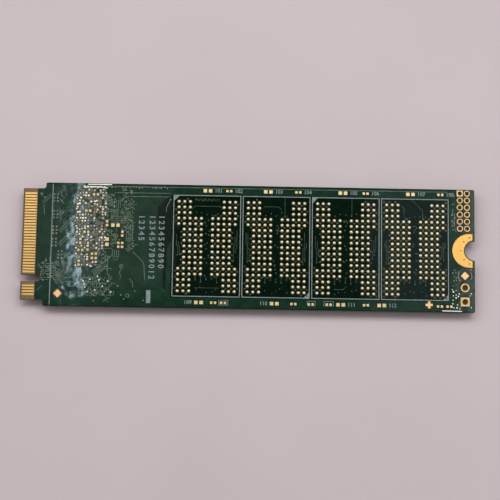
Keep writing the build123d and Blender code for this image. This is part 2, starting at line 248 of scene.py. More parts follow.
class CardColours(bpy.types.PropertyGroup):
    """Colours of the card's materials."""

    mask: colour("Mask on copper", "Green solder mask over copper areas", "#1a3627")
    track_mask: colour("Mask on tracks", "Green solder mask over tracks", "#6a7c6c")
    # Pale grey-green of masked vias: partly thin mask, partly painted glint
    via_mask: colour("Mask on vias", "Thin solder mask over the rings of vias", "#969480")
    fine_mask: colour("Mask on fine copper", "Solder mask over the fine copper of the sites", "#4e4a22")
    dense_mask: colour("Mask on dense copper", "Solder mask over dense copper of the via field", "#50503f")
    dark_mask: colour("Mask on laminate", "Green solder mask over bare laminate", "#07190e")
    laminate: colour("Laminate", "Bare glass-epoxy laminate", "#9c7a48")
    # Dark brown of laminate in the mask's openings: partly own tone, partly painted shade
    dark_laminate: colour("Dark laminate", "Bare laminate in the mask's openings", "#30240a")
    # Near black of the laminate between the contacts: painted shade
    etched_laminate: colour("Etched laminate", "Bare laminate between the contacts", "#1d1002")
    # Dark brown of the hole plugs: painted shade of the bores
    plug: colour("Hole plug", "Epoxy that plugs the plated holes", "#633a0a")
    # Cream of the lands: gold lightened by painted highlight on the domes
    thin_gold: colour("Thin gold", "Thin gold plating of the lands", "#dfd4b0")
    # Near white of the open vias and bare slivers: gold lightened by painted glint
    via_gold: colour("Via gold", "Trace of gold plating on open vias", "#efebdd")
    pad_gold: colour("Pad gold", "Gold plating of the small pads", "#d8c796")
    eyelet_gold: colour("Eyelet gold", "Gold plating of the plated holes", "#d2bc90")
    mark_gold: colour("Mark gold", "Gold plating of the alignment marks", "#eecb93")
    ground_gold: colour("Ground gold", "Gold plating of the ground pads", "#f1bc69")
    hard_gold: colour("Hard gold", "Gold plating of the edge contacts", "#ecc17c")
    white_print: colour("Print", "White epoxy print", "#8b9896")
    mould: colour("Mould compound", "Black epoxy of the packages", "#1b1c1e")
    substrate: colour("Package base", "Green base board of the packages", "#2c4a34")
    solder: colour("Solder", "Reflowed solder and tin plating", "#c9ccd0")
    ceramic: colour("Capacitor ceramic", "Fired body of the capacitors", "#a8835c")
    ferrite: colour("Ferrite", "Pressed body of the inductors", "#3f4143")
    lid: colour("Crystal lid", "Plated steel lid of the crystal", "#c7c4bb")


class CardStage(bpy.types.PropertyGroup):
    """The studio round the card."""

    floor: colour("Floor", "Pale table top", "#cdbfc2")
    lens: FloatProperty(
        name="Lens", description="Focal length of the camera in millimetres", default=115.2, min=1,
        unit="CAMERA",
    )
    camera_place: FloatVectorProperty(
        name="Camera", description="Place of the camera", size=3, subtype="TRANSLATION", unit="LENGTH",
        default=(-3.57 * MM, -46.02 * MM, 280.71 * MM),
    )
    camera_turn: FloatVectorProperty(
        name="Camera turn", description="Turn of the camera about X, Y and Z", size=3, subtype="EULER",
        unit="ROTATION", default=[math.radians(angle) for angle in (9.260, -0.923, 0.846)],
    )
    key_power: power("Key lamp", "Power of the large lamp", 2.65)
    fill_power: power("Fill lamps", "Power of each side lamp", 0.5)
    end_power: power("End lamp", "Power of the lamp over the end of the card", 0.2)
    site_power: power("Site lamp", "Power of the dim lamp over the last flash site", 0.0145)
    strip_power: power("Strip lamp", "Power of the narrow lamp over the card", 0.012)
    panel_power: power("Panel lamp", "Power of the dim panel over the card", 0.0048)
    cool_tint: colour("Cool tint", "Colour of the narrow lamp and the lamp over the last site", "#d6f0ff")
    room_light: FloatProperty(
        name="Room light", description="Strength of the light from the walls of the room", default=0.5, min=0
    )


# Mesh helpers


def solids(node):
    """Points of each separate solid of a CAD node."""
    mesh = bmesh.new()
    mesh.from_mesh(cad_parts[node].data)
    bmesh.ops.remove_doubles(mesh, verts=mesh.verts, dist=MERGE_DISTANCE)
    found = []
    for start in mesh.verts:
        if start.tag:
            continue
        start.tag = True
        solid = [start]
        for vert in solid:
            for edge in vert.link_edges:
                other = edge.other_vert(vert)
                if not other.tag:
                    other.tag = True
                    solid.append(other)
        found.append([vert.co.copy() for vert in solid])
    mesh.free()
    return found


def middle_and_size(points):
    """Mean of points, and the size of the box round them."""
    spans = [[point[axis] for point in points] for axis in range(3)]
    size = Vector([max(span) - min(span) for span in spans])
    return sum(points, Vector((0, 0, 0))) / len(points), size


def islands(node):
    """Middle and size of each separate solid of a CAD node."""
    return [middle_and_size(points) for points in solids(node)]


def board_outline(height):
    """Outer outline of the board's face at this height, as (x, y) points, counter-clockwise from above."""
    mesh = bmesh.new()
    mesh.from_mesh(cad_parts["circuit_board"].data)
    bmesh.ops.remove_doubles(mesh, verts=mesh.verts, dist=MERGE_DISTANCE)
    for face in mesh.faces:
        face.tag = all(abs(vert.co.z - height) < MERGE_DISTANCE for vert in face.verts)
    following = {}
    for face in mesh.faces:
        for loop in face.loops:
            if face.tag and not loop.link_loop_radial_next.face.tag:
                following[loop.vert] = loop.link_loop_next.vert
    start = min(following, key=lambda vert: (vert.co.x, vert.co.y))
    outline = [start]
    while following[outline[-1]] is not start:
        outline.append(following[outline[-1]])
    points = [vert.co.to_2d() for vert in outline]
    mesh.free()
    return points if height == BACK else points[::-1]


def ring(x, y, z, width, depth, radius, steps=4):
    """Points of a rounded rectangle at height z. With a radius of half its width it is a circle."""
    points = []
    for quarter in range(4):
        side_x = 1 if quarter in (0, 3) else -1
        side_y = 1 if quarter in (0, 1) else -1
        middle_x = x + side_x * (width / 2 - radius)
        middle_y = y + side_y * (depth / 2 - radius)
        for step in range(steps + 1):
            angle = (quarter + step / steps) * math.pi / 2
            points.append((middle_x + radius * math.cos(angle), middle_y + radius * math.sin(angle), z))
    return points


def disc(x, y, z, width, steps=4):
    """Points of a circle at height z."""
    return ring(x, y, z, width, width, width / 2, steps)


def flat(points):
    """The x and y of each point."""
    return [point[:2] for point in points]


def arc(x, y, radius, start, end, steps):
    """Points on an arc, from one angle to another in radians."""
    angles = [start + (end - start) * step / steps for step in range(steps + 1)]
    return [(x + radius * math.cos(angle), y + radius * math.sin(angle)) for angle in angles]


def loft(mesh, rings, closed=False):
    """Skin rings that have the same number of points, and cap the ends unless the last joins the first."""
    skin = [[mesh.verts.new(point) for point in points] for points in rings]
    joined = list(zip(skin, skin[1:]))
    if closed:
        joined.append((skin[-1], skin[0]))
    for lower, upper in joined:
        for here in range(len(lower)):
            after = (here + 1) % len(lower)
            mesh.faces.new((lower[here], lower[after], upper[after], upper[here]))
    if not closed:
        mesh.faces.new(skin[0])
        mesh.faces.new(skin[-1])


def block(mesh, x, y, width, depth, base, tip, radius, edge, mark=None):
    """A block with rounded corners, a rounded edge at its tip and there, if wanted, a round sunken mark."""
    flat_inset = 1.3 * edge
    mark_taper = 0.95
    side = 1 if tip > base else -1
    insets = []
    for turn in (0, 30, 60, 90):
        angle = math.radians(turn)
        insets.append((edge * (1 - math.cos(angle)), tip - side * edge * (1 - math.sin(angle))))
    insets.append((flat_inset, tip))
    rings = [ring(x, y, base, width, depth, radius)]
    for inset, height in insets:
        rings.append(ring(x, y, height, width - 2 * inset, depth - 2 * inset, max(radius - inset, 0)))
    if mark:
        mark_x, mark_y, mark_width, mark_depth = mark
        rings.append(disc(mark_x, mark_y, tip, mark_width))
        rings.append(disc(mark_x, mark_y, tip - side * mark_depth, mark_taper * mark_width))
    loft(mesh, rings)


def plate(mesh, outline, base, tip, edge):
    """A small plate with this outline of (x, y) points, drawn in by an edge at its tip."""
    middle = sum((Vector(point) for point in outline), Vector((0, 0))) / len(outline)
    reach = max((Vector(point) - middle).length for point in outline)
    drawn = [middle + (Vector(point) - middle) * (1 - edge / reach) for point in outline]
    shoulder = tip - math.copysign(edge, tip - base)
    loft(
        mesh,
        [[(*point, base) for point in outline], [(*point, shoulder) for point in outline],
         [(*point, tip) for point in drawn]],
    )


def sheet(mesh, outlines, openings, low, high, within=None):
    """A flat sheet between two heights, with openings, from outlines of (x, y) points.

    Where an outline to stay within is given, the sheet is trimmed to it.
    """
    points = []
    faces = []
    bounds = [within] if within else []
    for outline in outlines + bounds + openings:
        faces.append(range(len(points), len(points) + len(outline)))
        points += [Vector(point) for point in outline]
    corners, _, triangles, _, _, owners = delaunay_2d_cdt(
        points, [], [list(face) for face in faces], 1, MERGE_DISTANCE
    )
    first_bound = len(outlines)
    first_opening = first_bound + len(bounds)
    verts = {}
    skin = []
    for triangle, owner in zip(triangles, owners):
        filled = any(loop < first_bound for loop in owner)
        bounded = not within or first_bound in owner
        if not filled or not bounded or max(owner) >= first_opening:
            continue
        for corner in triangle:
            if corner not in verts:
                verts[corner] = mesh.verts.new((*corners[corner], high))
        skin.append(mesh.faces.new([verts[corner] for corner in triangle]))
    grown = bmesh.ops.extrude_face_region(mesh, geom=skin)
    for vert in grown["geom"]:
        if isinstance(vert, bmesh.types.BMVert):
            vert.co.z = low


def track(mesh, path, width, low, high):
    """A raised track with mitred corners along (x, y) points."""
    crest = 0.7
    points = [Vector(point) for point in path]
    sections = []
    for here, point in enumerate(points):
        before = point - points[max(here - 1, 0)]
        after = points[min(here + 1, len(points) - 1)] - point
        runs = [run.normalized() for run in (before, after) if run.length > 0]
        heading = sum(runs, Vector((0, 0))).normalized()
        reach = width / 2 / heading.dot(runs[0])
        across = Vector((-heading.y, heading.x)) * reach
        left, right = point + across, point - across
        upper_left, upper_right = point + crest * across, point - crest * across
        sections.append([(*left, low), (*upper_left, high), (*upper_right, high), (*right, low)])
    loft(mesh, sections)


def via(mesh, x, y, width, low, high):
    """A via: a raised ring with a sunken middle, drawn by shares of its width and its rise."""
    rise = high - low
    shape = ((1.0, 0.0), (0.94, 0.6), (0.8, 0.9), (0.62, 1.0), (0.45, 0.95), (0.3, 0.8))
    loft(mesh, [disc(x, y, low + share * rise, part * width, steps=3) for part, share in shape])


def number(mesh, text, x, y, height, low, high, turn=0.0):
    """Printed digits, centred on a place, with strokes a little fuller than the font's."""
    fullness = 0.016
    curve = bpy.data.curves.new("digits", "FONT")
    curve.body = text
    curve.size = height
    curve.align_x = "CENTER"
    curve.align_y = "CENTER"
    curve.resolution_u = 3
    curve.extrude = (high - low) / 2
    curve.offset = fullness * height
    holder = bpy.data.objects.new("digits", curve)
    data = bpy.data.meshes.new_from_object(holder)
    data.transform(Matrix.Translation((x, y, (low + high) / 2)) @ Matrix.Rotation(turn, 4, "Z"))
    mesh.from_mesh(data)
    bpy.data.objects.remove(holder)
    bpy.data.curves.remove(curve)
    bpy.data.meshes.remove(data)


def add_piece(name, mesh, finish, replaces=()):
    """Turn a finished mesh into a piece that rides on the card."""
    bmesh.ops.remove_doubles(mesh, verts=mesh.verts, dist=MERGE_DISTANCE)
    bmesh.ops.recalc_face_normals(mesh, faces=mesh.faces)
    data = bpy.data.meshes.new(name)
    mesh.to_mesh(data)
    mesh.free()
    data.shade_smooth()
    data.set_sharp_from_angle(angle=SMOOTH_ANGLE)
    data.materials.append(finish)
    piece = bpy.data.objects.new(name, data)
    bpy.context.scene.collection.objects.link(piece)
    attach(piece, "root")
    if replaces:
        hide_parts(*replaces)


def dress(node, finish):
    """Give a CAD node that stays in view its finish."""
    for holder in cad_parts[node].material_slots:
        holder.material = finish


# Materials


def add_node(tree, kind, settings=None, inputs=None):
    """Add a node, with its settings, and feed its inputs from values or from other nodes' outputs."""
    made = tree.nodes.new(kind)
    for name, value in (settings or {}).items():
        setattr(made, name, value)
    for name, value in (inputs or {}).items():
        if isinstance(value, bpy.types.NodeSocket):
            tree.links.new(value, made.inputs[name])
        else:
            made.inputs[name].default_value = value
    return made


def new_material(name, roughness, metallic=0.0):
    """A material, its node tree, its shader and the card's own coordinates."""
    material = bpy.data.materials.new(name)
    material.use_nodes = True
    tree = material.node_tree
    shader = tree.nodes["Principled BSDF"]
    shader.inputs["Roughness"].default_value = roughness
    shader.inputs["Metallic"].default_value = metallic
    if not metallic:
        shader.inputs["IOR"].default_value = EPOXY_IOR
    coordinates = add_node(tree, "ShaderNodeTexCoord").outputs["Object"]
    return material, tree, shader, coordinates


def shade(base, factor=1.0):
    """A colour as four numbers, made lighter or darker by a factor."""
    return [min(part * factor, 1.0) for part in base] + [1.0]


def mottle(tree, shader, coordinates, spot, shades, detail=3.0):
    """Blend two colours in soft spots of a real size, and give the blend to the shader."""
    noise = add_node(
        tree, "ShaderNodeTexNoise", inputs={"Vector": coordinates, "Scale": 1 / spot, "Detail": detail}
    )
    ramp = add_node(tree, "ShaderNodeValToRGB", inputs={"Fac": noise.outputs["Fac"]})
    for stop, place, tone in zip(ramp.color_ramp.elements, (0.3, 0.7), shades):
        stop.position = place
        stop.color = tone
    tree.links.new(ramp.outputs["Color"], shader.inputs["Base Color"])


def roughen(tree, shader, coordinates, grain, depth):
    """Bump the surface with grain of a real size and depth."""
    noise = add_node(
        tree, "ShaderNodeTexNoise", inputs={"Vector": coordinates, "Scale": 1 / grain, "Detail": 2.0}
    )
    bump = add_node(
        tree, "ShaderNodeBump", inputs={"Height": noise.outputs["Fac"], "Distance": depth, "Strength": 1.0}
    )
    tree.links.new(bump.outputs["Normal"], shader.inputs["Normal"])


def spotted(name, tone, roughness, spot, shades, grain=None, metallic=0.0, detail=3.0, specular=None):
    """A material with soft spots between two shades of one of the card's colours.

    The spots, and the width and depth of the grain that it may have, are in millimetres.
    """
    base = getattr(bpy.context.scene.card_colours, tone)
    material, tree, shader, coordinates = new_material(name, roughness, metallic)
    if specular is not None:
        shader.inputs["Specular IOR Level"].default_value = specular
    mottle(tree, shader, coordinates, spot * MM, [shade(base, factor) for factor in shades], detail)
    if grain:
        width, depth = grain
        roughen(tree, shader, coordinates, width * MM, depth * MM)
    return material


@cache
def routed_laminate():
    # Glass-epoxy laminate, pressed in layers and routed to shape: tan where the tongue is bare, dark brown in
    # the mask's openings, partly its own tone and partly painted shade round pads and lands, with a faint glass
    # weave on its faces and fine layers on its walls.
    colours = bpy.context.scene.card_colours
    material, tree, shader, coordinates = new_material("glass_epoxy_laminate_routed", 0.55)
    place = add_node(tree, "ShaderNodeSeparateXYZ", inputs={0: coordinates})
    thread = 0.45 * MM
    weave = add_node(
        tree, "ShaderNodeTexWave", {"bands_direction": "Y"},
        {"Vector": coordinates, "Scale": WAVE_BAND / thread, "Distortion": 1.5, "Detail": 1.0},
    )
    layer = 0.1 * MM
    layers = add_node(
        tree, "ShaderNodeTexWave", {"bands_direction": "Z"},
        {"Vector": coordinates, "Scale": WAVE_BAND / layer, "Distortion": 0.6, "Detail": 2.0},
    )
    bare_from, bare_to = TIP_X + 3.1 * MM, TIP_X + 2.9 * MM
    tongue = add_node(
        tree, "ShaderNodeMapRange",
        inputs={"Value": place.outputs["X"], "From Min": bare_from, "From Max": bare_to},
    )
    # Outside the tongue the face shows only in the mask's openings, dark brown partly as painted shade
    face = add_node(
        tree, "ShaderNodeMix", {"data_type": "RGBA"},
        {0: tongue.outputs[0], 6: shade(colours.dark_laminate), 7: shade(colours.laminate, 0.6)},
    )
    woven = add_node(
        tree, "ShaderNodeMix", {"data_type": "RGBA", "blend_type": "MULTIPLY"},
        {0: 0.35, 6: face.outputs[2], 7: weave.outputs["Color"]},
    )
    wall = add_node(
        tree, "ShaderNodeMix", {"data_type": "RGBA"},
        {0: layers.outputs["Fac"], 6: shade(colours.laminate, 0.15), 7: shade(colours.laminate, 0.45)},
    )
    normal = add_node(
        tree, "ShaderNodeSeparateXYZ",
        inputs={0: add_node(tree, "ShaderNodeNewGeometry").outputs["Normal"]},
    )
    upright = add_node(tree, "ShaderNodeMath", {"operation": "ABSOLUTE"}, {0: normal.outputs["Z"]})
    whole = add_node(
        tree, "ShaderNodeMix", {"data_type": "RGBA"},
        {0: upright.outputs[0], 6: wall.outputs[2], 7: woven.outputs[2]},
    )
    tree.links.new(whole.outputs[2], shader.inputs["Base Color"])
    return material


@cache
def mask_on_copper():
    # Epoxy solder mask, sprayed on copper and cured: a clear glossy green with soft lighter spots and low
    # waves that break up what it mirrors.
    return spotted(
        "epoxy_solder_mask_on_copper_cured", "mask", roughness=0.05, spot=1.6, shades=(0.7, 1.15),
        grain=(3.5, 0.024),
    )


@cache
def mask_on_track():
    # Epoxy solder mask where it runs thin over tracks: the copper shines through, so it is paler.
    return spotted(
        "epoxy_solder_mask_on_tracks_cured", "track_mask", roughness=0.12, spot=0.8, shades=(0.6, 1.1)
    )


@cache
def mask_on_site_track():
    # Epoxy solder mask over the tracks of the flash sites, where it lies thicker: a dim grey-green.
    return spotted(
        "epoxy_solder_mask_on_site_tracks_cured", "track_mask", roughness=0.12, spot=0.8, shades=(0.2, 0.5)
    )


@cache
def mask_on_via():
    # Epoxy solder mask where it has run off the rings of vias: a thin grey-green glaze on tinned copper,
    # painted pale as the glint that the small domes catch.
    return spotted(
        "epoxy_solder_mask_on_vias_cured", "via_mask", roughness=0.12, spot=0.9, shades=(0.35, 1.2)
    )


@cache
def mask_on_laminate():
    # Epoxy solder mask, sprayed on bare laminate and cured: no copper shines through, so it is near black.
    return spotted(
        "epoxy_solder_mask_on_laminate_cured", "dark_mask", roughness=0.05, spot=1.2, shades=(0.7, 1.2),
        grain=(3.5, 0.024),
    )


@cache
def mask_on_fine_copper():
    # Epoxy solder mask on the fine copper between the lands: a dull olive, as copper and laminate mix.
    return spotted(
        "epoxy_solder_mask_on_fine_copper_cured", "fine_mask", roughness=0.12, spot=0.8, shades=(0.5, 1.2)
    )


@cache
def mask_on_dense_copper():
    # Epoxy solder mask on the dense copper of the via field: a dull grey-olive that hardly mirrors.
    return spotted(
        "epoxy_solder_mask_on_dense_copper_cured", "dense_mask", roughness=0.3, spot=0.4, shades=(0.1, 1.4)
    )


@cache
def etched_laminate():
    # Glass-epoxy laminate, bared by etching between the contacts: a rough brown, painted near black as the
    # shade between the gold contacts.
    return spotted(
        "glass_epoxy_laminate_etched", "etched_laminate", roughness=0.9, spot=0.3, shades=(0.7, 1.2),
        specular=0.1,
    )


@cache
def plugging_epoxy():
    # Epoxy, pressed into the plated holes, cured and ground rough: a dark brown that mirrors next to nothing,
    # painted shade of the deep bores.
    return spotted(
        "plugging_epoxy_ground", "plug", roughness=0.9, spot=0.4, shades=(0.7, 1.2), specular=0.1
    )


def plated_gold(name, tone):
    """Gold, plated in a bath: a satin metal with soft tarnish spots and fine grain, drawn coarse to show."""
    return spotted(
        name, tone, roughness=0.5, spot=0.7, shades=(0.85, 1.0), grain=(0.06, 0.004), metallic=1.0
    )


@cache
def thin_gold():
    # A wash of immersion gold on nickel: satin cream, paler than the other golds by painted highlight on the
    # domes.
    return plated_gold("thin_immersion_gold_plated", "thin_gold")


@cache
def via_gold():
    # A trace of immersion gold on the nickel of via rings: satin, painted grey-white as the glint that the
    # small domes catch.
    return plated_gold("trace_immersion_gold_plated", "via_gold")


@cache
def pad_gold():
    # Immersion gold of usual thickness on nickel: satin pale yellow.
    return plated_gold("immersion_gold_plated", "pad_gold")


@cache
def eyelet_gold():
    # Immersion gold on the copper of plated holes: satin tan, as the copper shows through at the lips.
    return plated_gold("eyelet_immersion_gold_plated", "eyelet_gold")


@cache
def mark_gold():
    # Immersion gold on small solid marks: satin yellow, between that of pads and of wide copper.
    return plated_gold("mark_immersion_gold_plated", "mark_gold")


@cache
def ground_gold():
    # Immersion gold on wide copper, where it grows thicker: satin warm yellow.
    return plated_gold("thick_immersion_gold_plated", "ground_gold")


@cache
def hard_gold():
    # Hard gold, plated by current on the contacts: a deeper yellow with scratches from being plugged in.
    gold = bpy.context.scene.card_colours.hard_gold
    material, tree, shader, coordinates = new_material("hard_gold_electroplated", 0.42, metallic=1.0)
    scratch_length = 1.2 * MM
    scratch_width = 0.05 * MM
    scratch_depth = 0.003 * MM
    stretched = add_node(
        tree, "ShaderNodeMapping",
        inputs={"Vector": coordinates, "Scale": (scratch_width / scratch_length, 1.0, 1.0)},
    ).outputs["Vector"]
    mottle(tree, shader, stretched, scratch_width, [shade(gold, 0.75), shade(gold)])
    roughen(tree, shader, stretched, scratch_width, scratch_depth)
    return material


@cache
def white_ink():
    # Epoxy ink, printed through a screen: chalky grey-white, thin in places so that green shows through.
    return spotted(
        "epoxy_ink_screen_printed", "white_print", roughness=0.6, spot=0.3, shades=(0.6, 1.0),
        grain=(0.08, 0.004),
    )


@cache
def mould_compound():
    # Black epoxy filled with silica, moulded: a dull charcoal with a matt skin and fine pale grains, which
    # are drawn about twice as coarse as they are, to show.
    return spotted(
        "silica_epoxy_moulded", "mould", roughness=0.62, spot=0.09, shades=(0.7, 1.5), grain=(0.1, 0.006),
        detail=4.0,
    )


@cache
def package_base():
    # Thin laminate under a moulded package, masked green: dull, with soft darker spots.
    return spotted("package_laminate_masked", "substrate", roughness=0.5, spot=0.25, shades=(0.7, 1.1))


@cache
def reflowed_solder():
    # Tin-silver solder, melted and set: bright grey metal with a slightly frosted skin, its frost drawn
    # coarse to show.
    return spotted(
        "tin_silver_solder_reflowed", "solder", roughness=0.32, spot=0.12, shades=(0.8, 1.0),
        grain=(0.05, 0.003), metallic=1.0,
    )


@cache
def fired_ceramic():
    # Barium titanate ceramic, fired: an even tan with a dull satin skin and faint darker grains, drawn coarse
    # to show.
    return spotted("barium_titanate_ceramic_fired", "ceramic", roughness=0.45, spot=0.12, shades=(0.8, 1.1))


@cache
def resistor_glaze():
    # Black glass glaze, fired on a white alumina base: shiny black with a soft edge.
    return spotted("lead_glass_glaze_fired", "mould", roughness=0.25, spot=0.15, shades=(0.8, 1.2))


@cache
def pressed_ferrite():
    # Ferrite powder, pressed and fired: dark grey and grainy, with a dry skin.
    return spotted(
        "ferrite_pressed", "ferrite", roughness=0.7, spot=0.07, shades=(0.6, 1.4), grain=(0.06, 0.008),
        detail=5.0,
    )


@cache
def plated_lid():
    # Nickel-plated steel lid, rolled and seam-welded: satin silver with fine rolling lines.
    silver = bpy.context.scene.card_colours.lid
    material, tree, shader, coordinates = new_material("nickel_plated_steel_rolled", 0.35, metallic=1.0)
    line_length = 0.6 * MM
    line_width = 0.03 * MM
    lines = add_node(
        tree, "ShaderNodeMapping",
        inputs={"Vector": coordinates, "Scale": (line_width / line_length, 1.0, 1.0)},
    ).outputs["Vector"]
    mottle(tree, shader, lines, line_width, [shade(silver, 0.85), shade(silver)])
    return material


@cache
def painted_table():
    # Painted table top, rolled on: an even pale pinkish grey with very soft clouds.
    floor = bpy.context.scene.card_stage.floor
    material, tree, shader, coordinates = new_material("table_paint_rolled", 0.7)
    cloud = 35 * MM
    mottle(tree, shader, coordinates, cloud, [shade(floor, 0.96), shade(floor, 1.02)], detail=4.0)
    return material


# Layout of the back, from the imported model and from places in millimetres. Each function that lays copper, or
# the runs and escapes of a flash site, returns tracks, masked vias and open vias. A via is its x, its y and
# its share of the full width of a via.


def places(points):
    """Points in millimetres as points in metres."""
    return [(x * MM, y * MM) for x, y in points]


def box_outline(low_x, low_y, high_x, high_y):
    """Outline of a rectangle between two corners in millimetres."""
    return places([(low_x, low_y), (high_x, low_y), (high_x, high_y), (low_x, high_y)])


def footprint(node):
    """Lowest and highest corner, middle, width and depth of a CAD node."""
    low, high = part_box(node)
    return low, high, (low + high) / 2, *(high - low).xy


def flat_pads():
    """Middle and size of every square pad on the back."""
    return islands("upper_edge_pads") + islands("lower_edge_pads") + islands("controller_pads")


def pad_places():
    """Middle of every square pad on the back, in millimetres."""
    return [middle.xy / MM for middle, _ in flat_pads()]


def site_lands():
    """Middle and size of every land of the flash sites."""
    return [land for site in SITES for land in islands(f"flash_site_{site}_lands")]


def plated_holes():
    """Middle, pad width, bore and whether the pad is square, for every plated hole."""
    square_reach = 0.6
    holes = []
    for node in SLEEVES:
        for points in solids(node):
            middle, size = middle_and_size(points)
            reaches = [(point - middle).xy.length for point in points]
            holes.append((middle, size.x, 2 * min(reaches), max(reaches) > square_reach * size.x))
    return holes


def crescent(inner_grow=0.0, outer_grow=0.0, end_grow=0.0):
    """Outline of a ground pad, grown at its inner arc, its outer arc and its ends."""
    points = solids("ground_pad_back")[0]
    low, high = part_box("ground_pad_back")
    inner = min((point.xy - Vector((END_X, 0))).length for point in points) - inner_grow
    outer = high.y + outer_grow
    end = high.x + end_grow
    inner_angle = math.acos(min((END_X - end) / inner, 1.0))
    outer_arc = arc(low.x + high.y, 0, outer, math.pi / 2, 3 * math.pi / 2, steps=36)
    inner_arc = arc(END_X, 0, inner, math.pi + inner_angle, math.pi - inner_angle, steps=28)
    return [(end, outer), *outer_arc, (end, -outer), *inner_arc]


def back_openings(space):
    """Openings on the back, this much wider on each side than the bare metal in them."""
    openings = []
    for middle, size in flat_pads():
        width, depth = size.x + 2 * space, size.y + 2 * space
        openings.append(flat(ring(*middle.xy, 0, width, depth, PAD_CORNER, steps=2)))
    for middle, size in site_lands():
        openings.append(flat(disc(*middle.xy, 0, size.y + 2 * space)))
    for node, share, steps in (("alignment_diamonds", 1.08, 8), ("alignment_cross", 1.05, 6)):
        for middle, size in islands(node):
            openings.append(flat(disc(*middle.xy, 0, share * size.x + 2 * space, steps)))
    return openings


def through_openings(space):
    """Openings on either face: round plated holes and the ground pad, and at the bare end of the tongue."""
    notch_space = 0.4 * MM
    end_space = 0.5 * MM
    corner = 0.1 * MM
    openings = [crescent(notch_space, space, end_space)]
    for middle, width, _, square in plated_holes():
        wide = width + 2 * space
        openings.append(flat(ring(*middle.xy, 0, wide, wide, corner if square else wide / 2)))
    bare_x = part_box("edge_contacts_back")[1].x + space
    far_x = 2 * TIP_X
    far_y = 2 * EDGE_Y
    openings.append([(far_x, -far_y), (bare_x, -far_y), (bare_x, far_y), (far_x, far_y)])
    return openings


def connector_copper():
    """Tracks and groups of small vias between the contacts and the controller."""
    half_gap = 0.13
    group_x, group_y = (-0.3, 0.3), (-0.6, 0.0, 0.6)
    part = 0.7
    tracks = list(CONNECTOR_TRACKS)
    vias = []
    for start, end in CONNECTOR_PAIRS:
        for side in (-half_gap, half_gap):
            tracks.append([(x + side, y - side) for x, y in (start, end)])
    for x, y in CONNECTOR_VIAS:
        vias += [(x + along, y + up, part) for along in group_x for up in group_y]
    return tracks, vias, []


def controller_copper(chance):
    """Tracks and vias behind the controller: a field of vias with short escapes, and longer tracks."""
    pad_space = 0.5
    slant, slant_top = 0.3, 1.0
    dense_missing, loose_missing = 0.15, 0.65
    loose_low = -0.6
    open_share, escape_share = 0.6, 0.4
    open_parts, masked_parts = (0.35, 0.85), (0.4, 0.75)
    escape, escape_runs = 0.33, (0.2, 0.6)
    lanes, lane_gap = 4, 0.36
    tracks = list(CONTROLLER_TRACKS)
    vias = []
    open_vias = []
    pads = pad_places()
    for column in range(VIA_COLUMNS):
        for row in range(VIA_ROWS):
            x = VIA_FIELD[0] + column * VIA_PITCH + chance.uniform(-VIA_SCATTER, VIA_SCATTER)
            y = VIA_FIELD[1] + row * VIA_PITCH + chance.uniform(-VIA_SCATTER, VIA_SCATTER)
            clear = all((pad - Vector((x, y))).length > pad_space for pad in pads)
            dense = x < DENSE_END - slant * max(slant_top - y, 0.0)
            missing = dense_missing if dense else loose_missing
            if not clear or chance.random() < missing or not dense and y < loose_low:
                continue
            # Open vias here are drawn in near-white gold, as painted glint
            if dense and chance.random() < open_share:
                open_vias.append((x, y, chance.uniform(*open_parts)))
            else:
                vias.append((x, y, chance.uniform(*masked_parts)))
            side_x = chance.choice((-1, 1))
            side_y = chance.choice((-1, 1))
            run = chance.uniform(*escape_runs)
            if chance.random() < escape_share:
                bend = (x + escape * side_x, y + escape * side_y)
                tracks.append([(x, y), bend, (bend[0] + run * side_x, bend[1])])
    for start_x, start_y, end_x, end_y in TRACK_BUNDLES:
        heading = Vector((end_x - start_x, end_y - start_y)).normalized()
        for lane in range(lanes):
            side_x, side_y = -lane_gap * lane * heading.y, lane_gap * lane * heading.x
            tracks.append([(start_x - side_x, start_y - side_y), (end_x - side_x, end_y - side_y)])
    return tracks, vias, open_vias


def crowded_copper(chance):
    """Short tracks that run every way, and small vias, where the copper is too crowded to follow."""
    headings = ((1, 0), (0, 1), (0.7, 0.7), (0.7, -0.7))
    runs, parts = (0.3, 0.9), (0.35, 0.6)
    pad_space = 0.6
    # A lot below the first of these gives a track, one below the second a via, and any other nothing
    track_lot, via_lot = 0.55, 0.7
    tracks = []
    vias = []
    pads = pad_places()
    for low_x, low_y, columns, rows in CROWDED_AREAS:
        for column in range(columns):
            for row in range(rows):
                start = Vector((low_x + CROWDED_PITCH * column, low_y + CROWDED_PITCH * row))
                heading = Vector(chance.choice(headings))
                end = start + chance.uniform(*runs) * heading
                lot = chance.random()
                part = chance.uniform(*parts)
                if any(min((pad - start).length, (pad - end).length) < pad_space for pad in pads):
                    continue
                if lot < track_lot:
                    tracks.append([tuple(start), tuple(end)])
                elif lot < via_lot:
                    vias.append((*start, part))
    return tracks, vias, []


def loose_copper(chance):
    """Tracks and vias in the solid copper round the controller: rings, and a row along the upper edge."""
    part = 0.6
    row_start, row_end, row_y, row_scatter = -29.2, -14.2, 10.4, 0.15
    row_parts, row_gaps = (0.4, 0.75), (0.35, 0.75)
    rings = [arc(x, y, radius, 0, 2 * math.pi, steps=16) for x, y, radius in RING_TRACKS]
    tracks = EDGE_TRACKS + rings
    vias = [(x, y, part) for x, y in LOOSE_VIAS]
    open_vias = [(x, y, part) for x, y in OPEN_VIAS]
    x = row_start
    while x < row_end:
        row = open_vias if x < DENSE_END else vias
        row.append((x, row_y + chance.uniform(-row_scatter, row_scatter), chance.uniform(*row_parts)))
        x += chance.uniform(*row_gaps)
    return tracks, vias, open_vias


def wave(x, y, reach, height, turns):
    """A track that snakes to gain length, from (x, y) to the right."""
    path = []
    for turn in range(turns + 1):
        here = x + reach * turn / turns
        rise = height if turn % 2 else 0
        path += [(here, y + rise), (here, y + height - rise)]
    return path


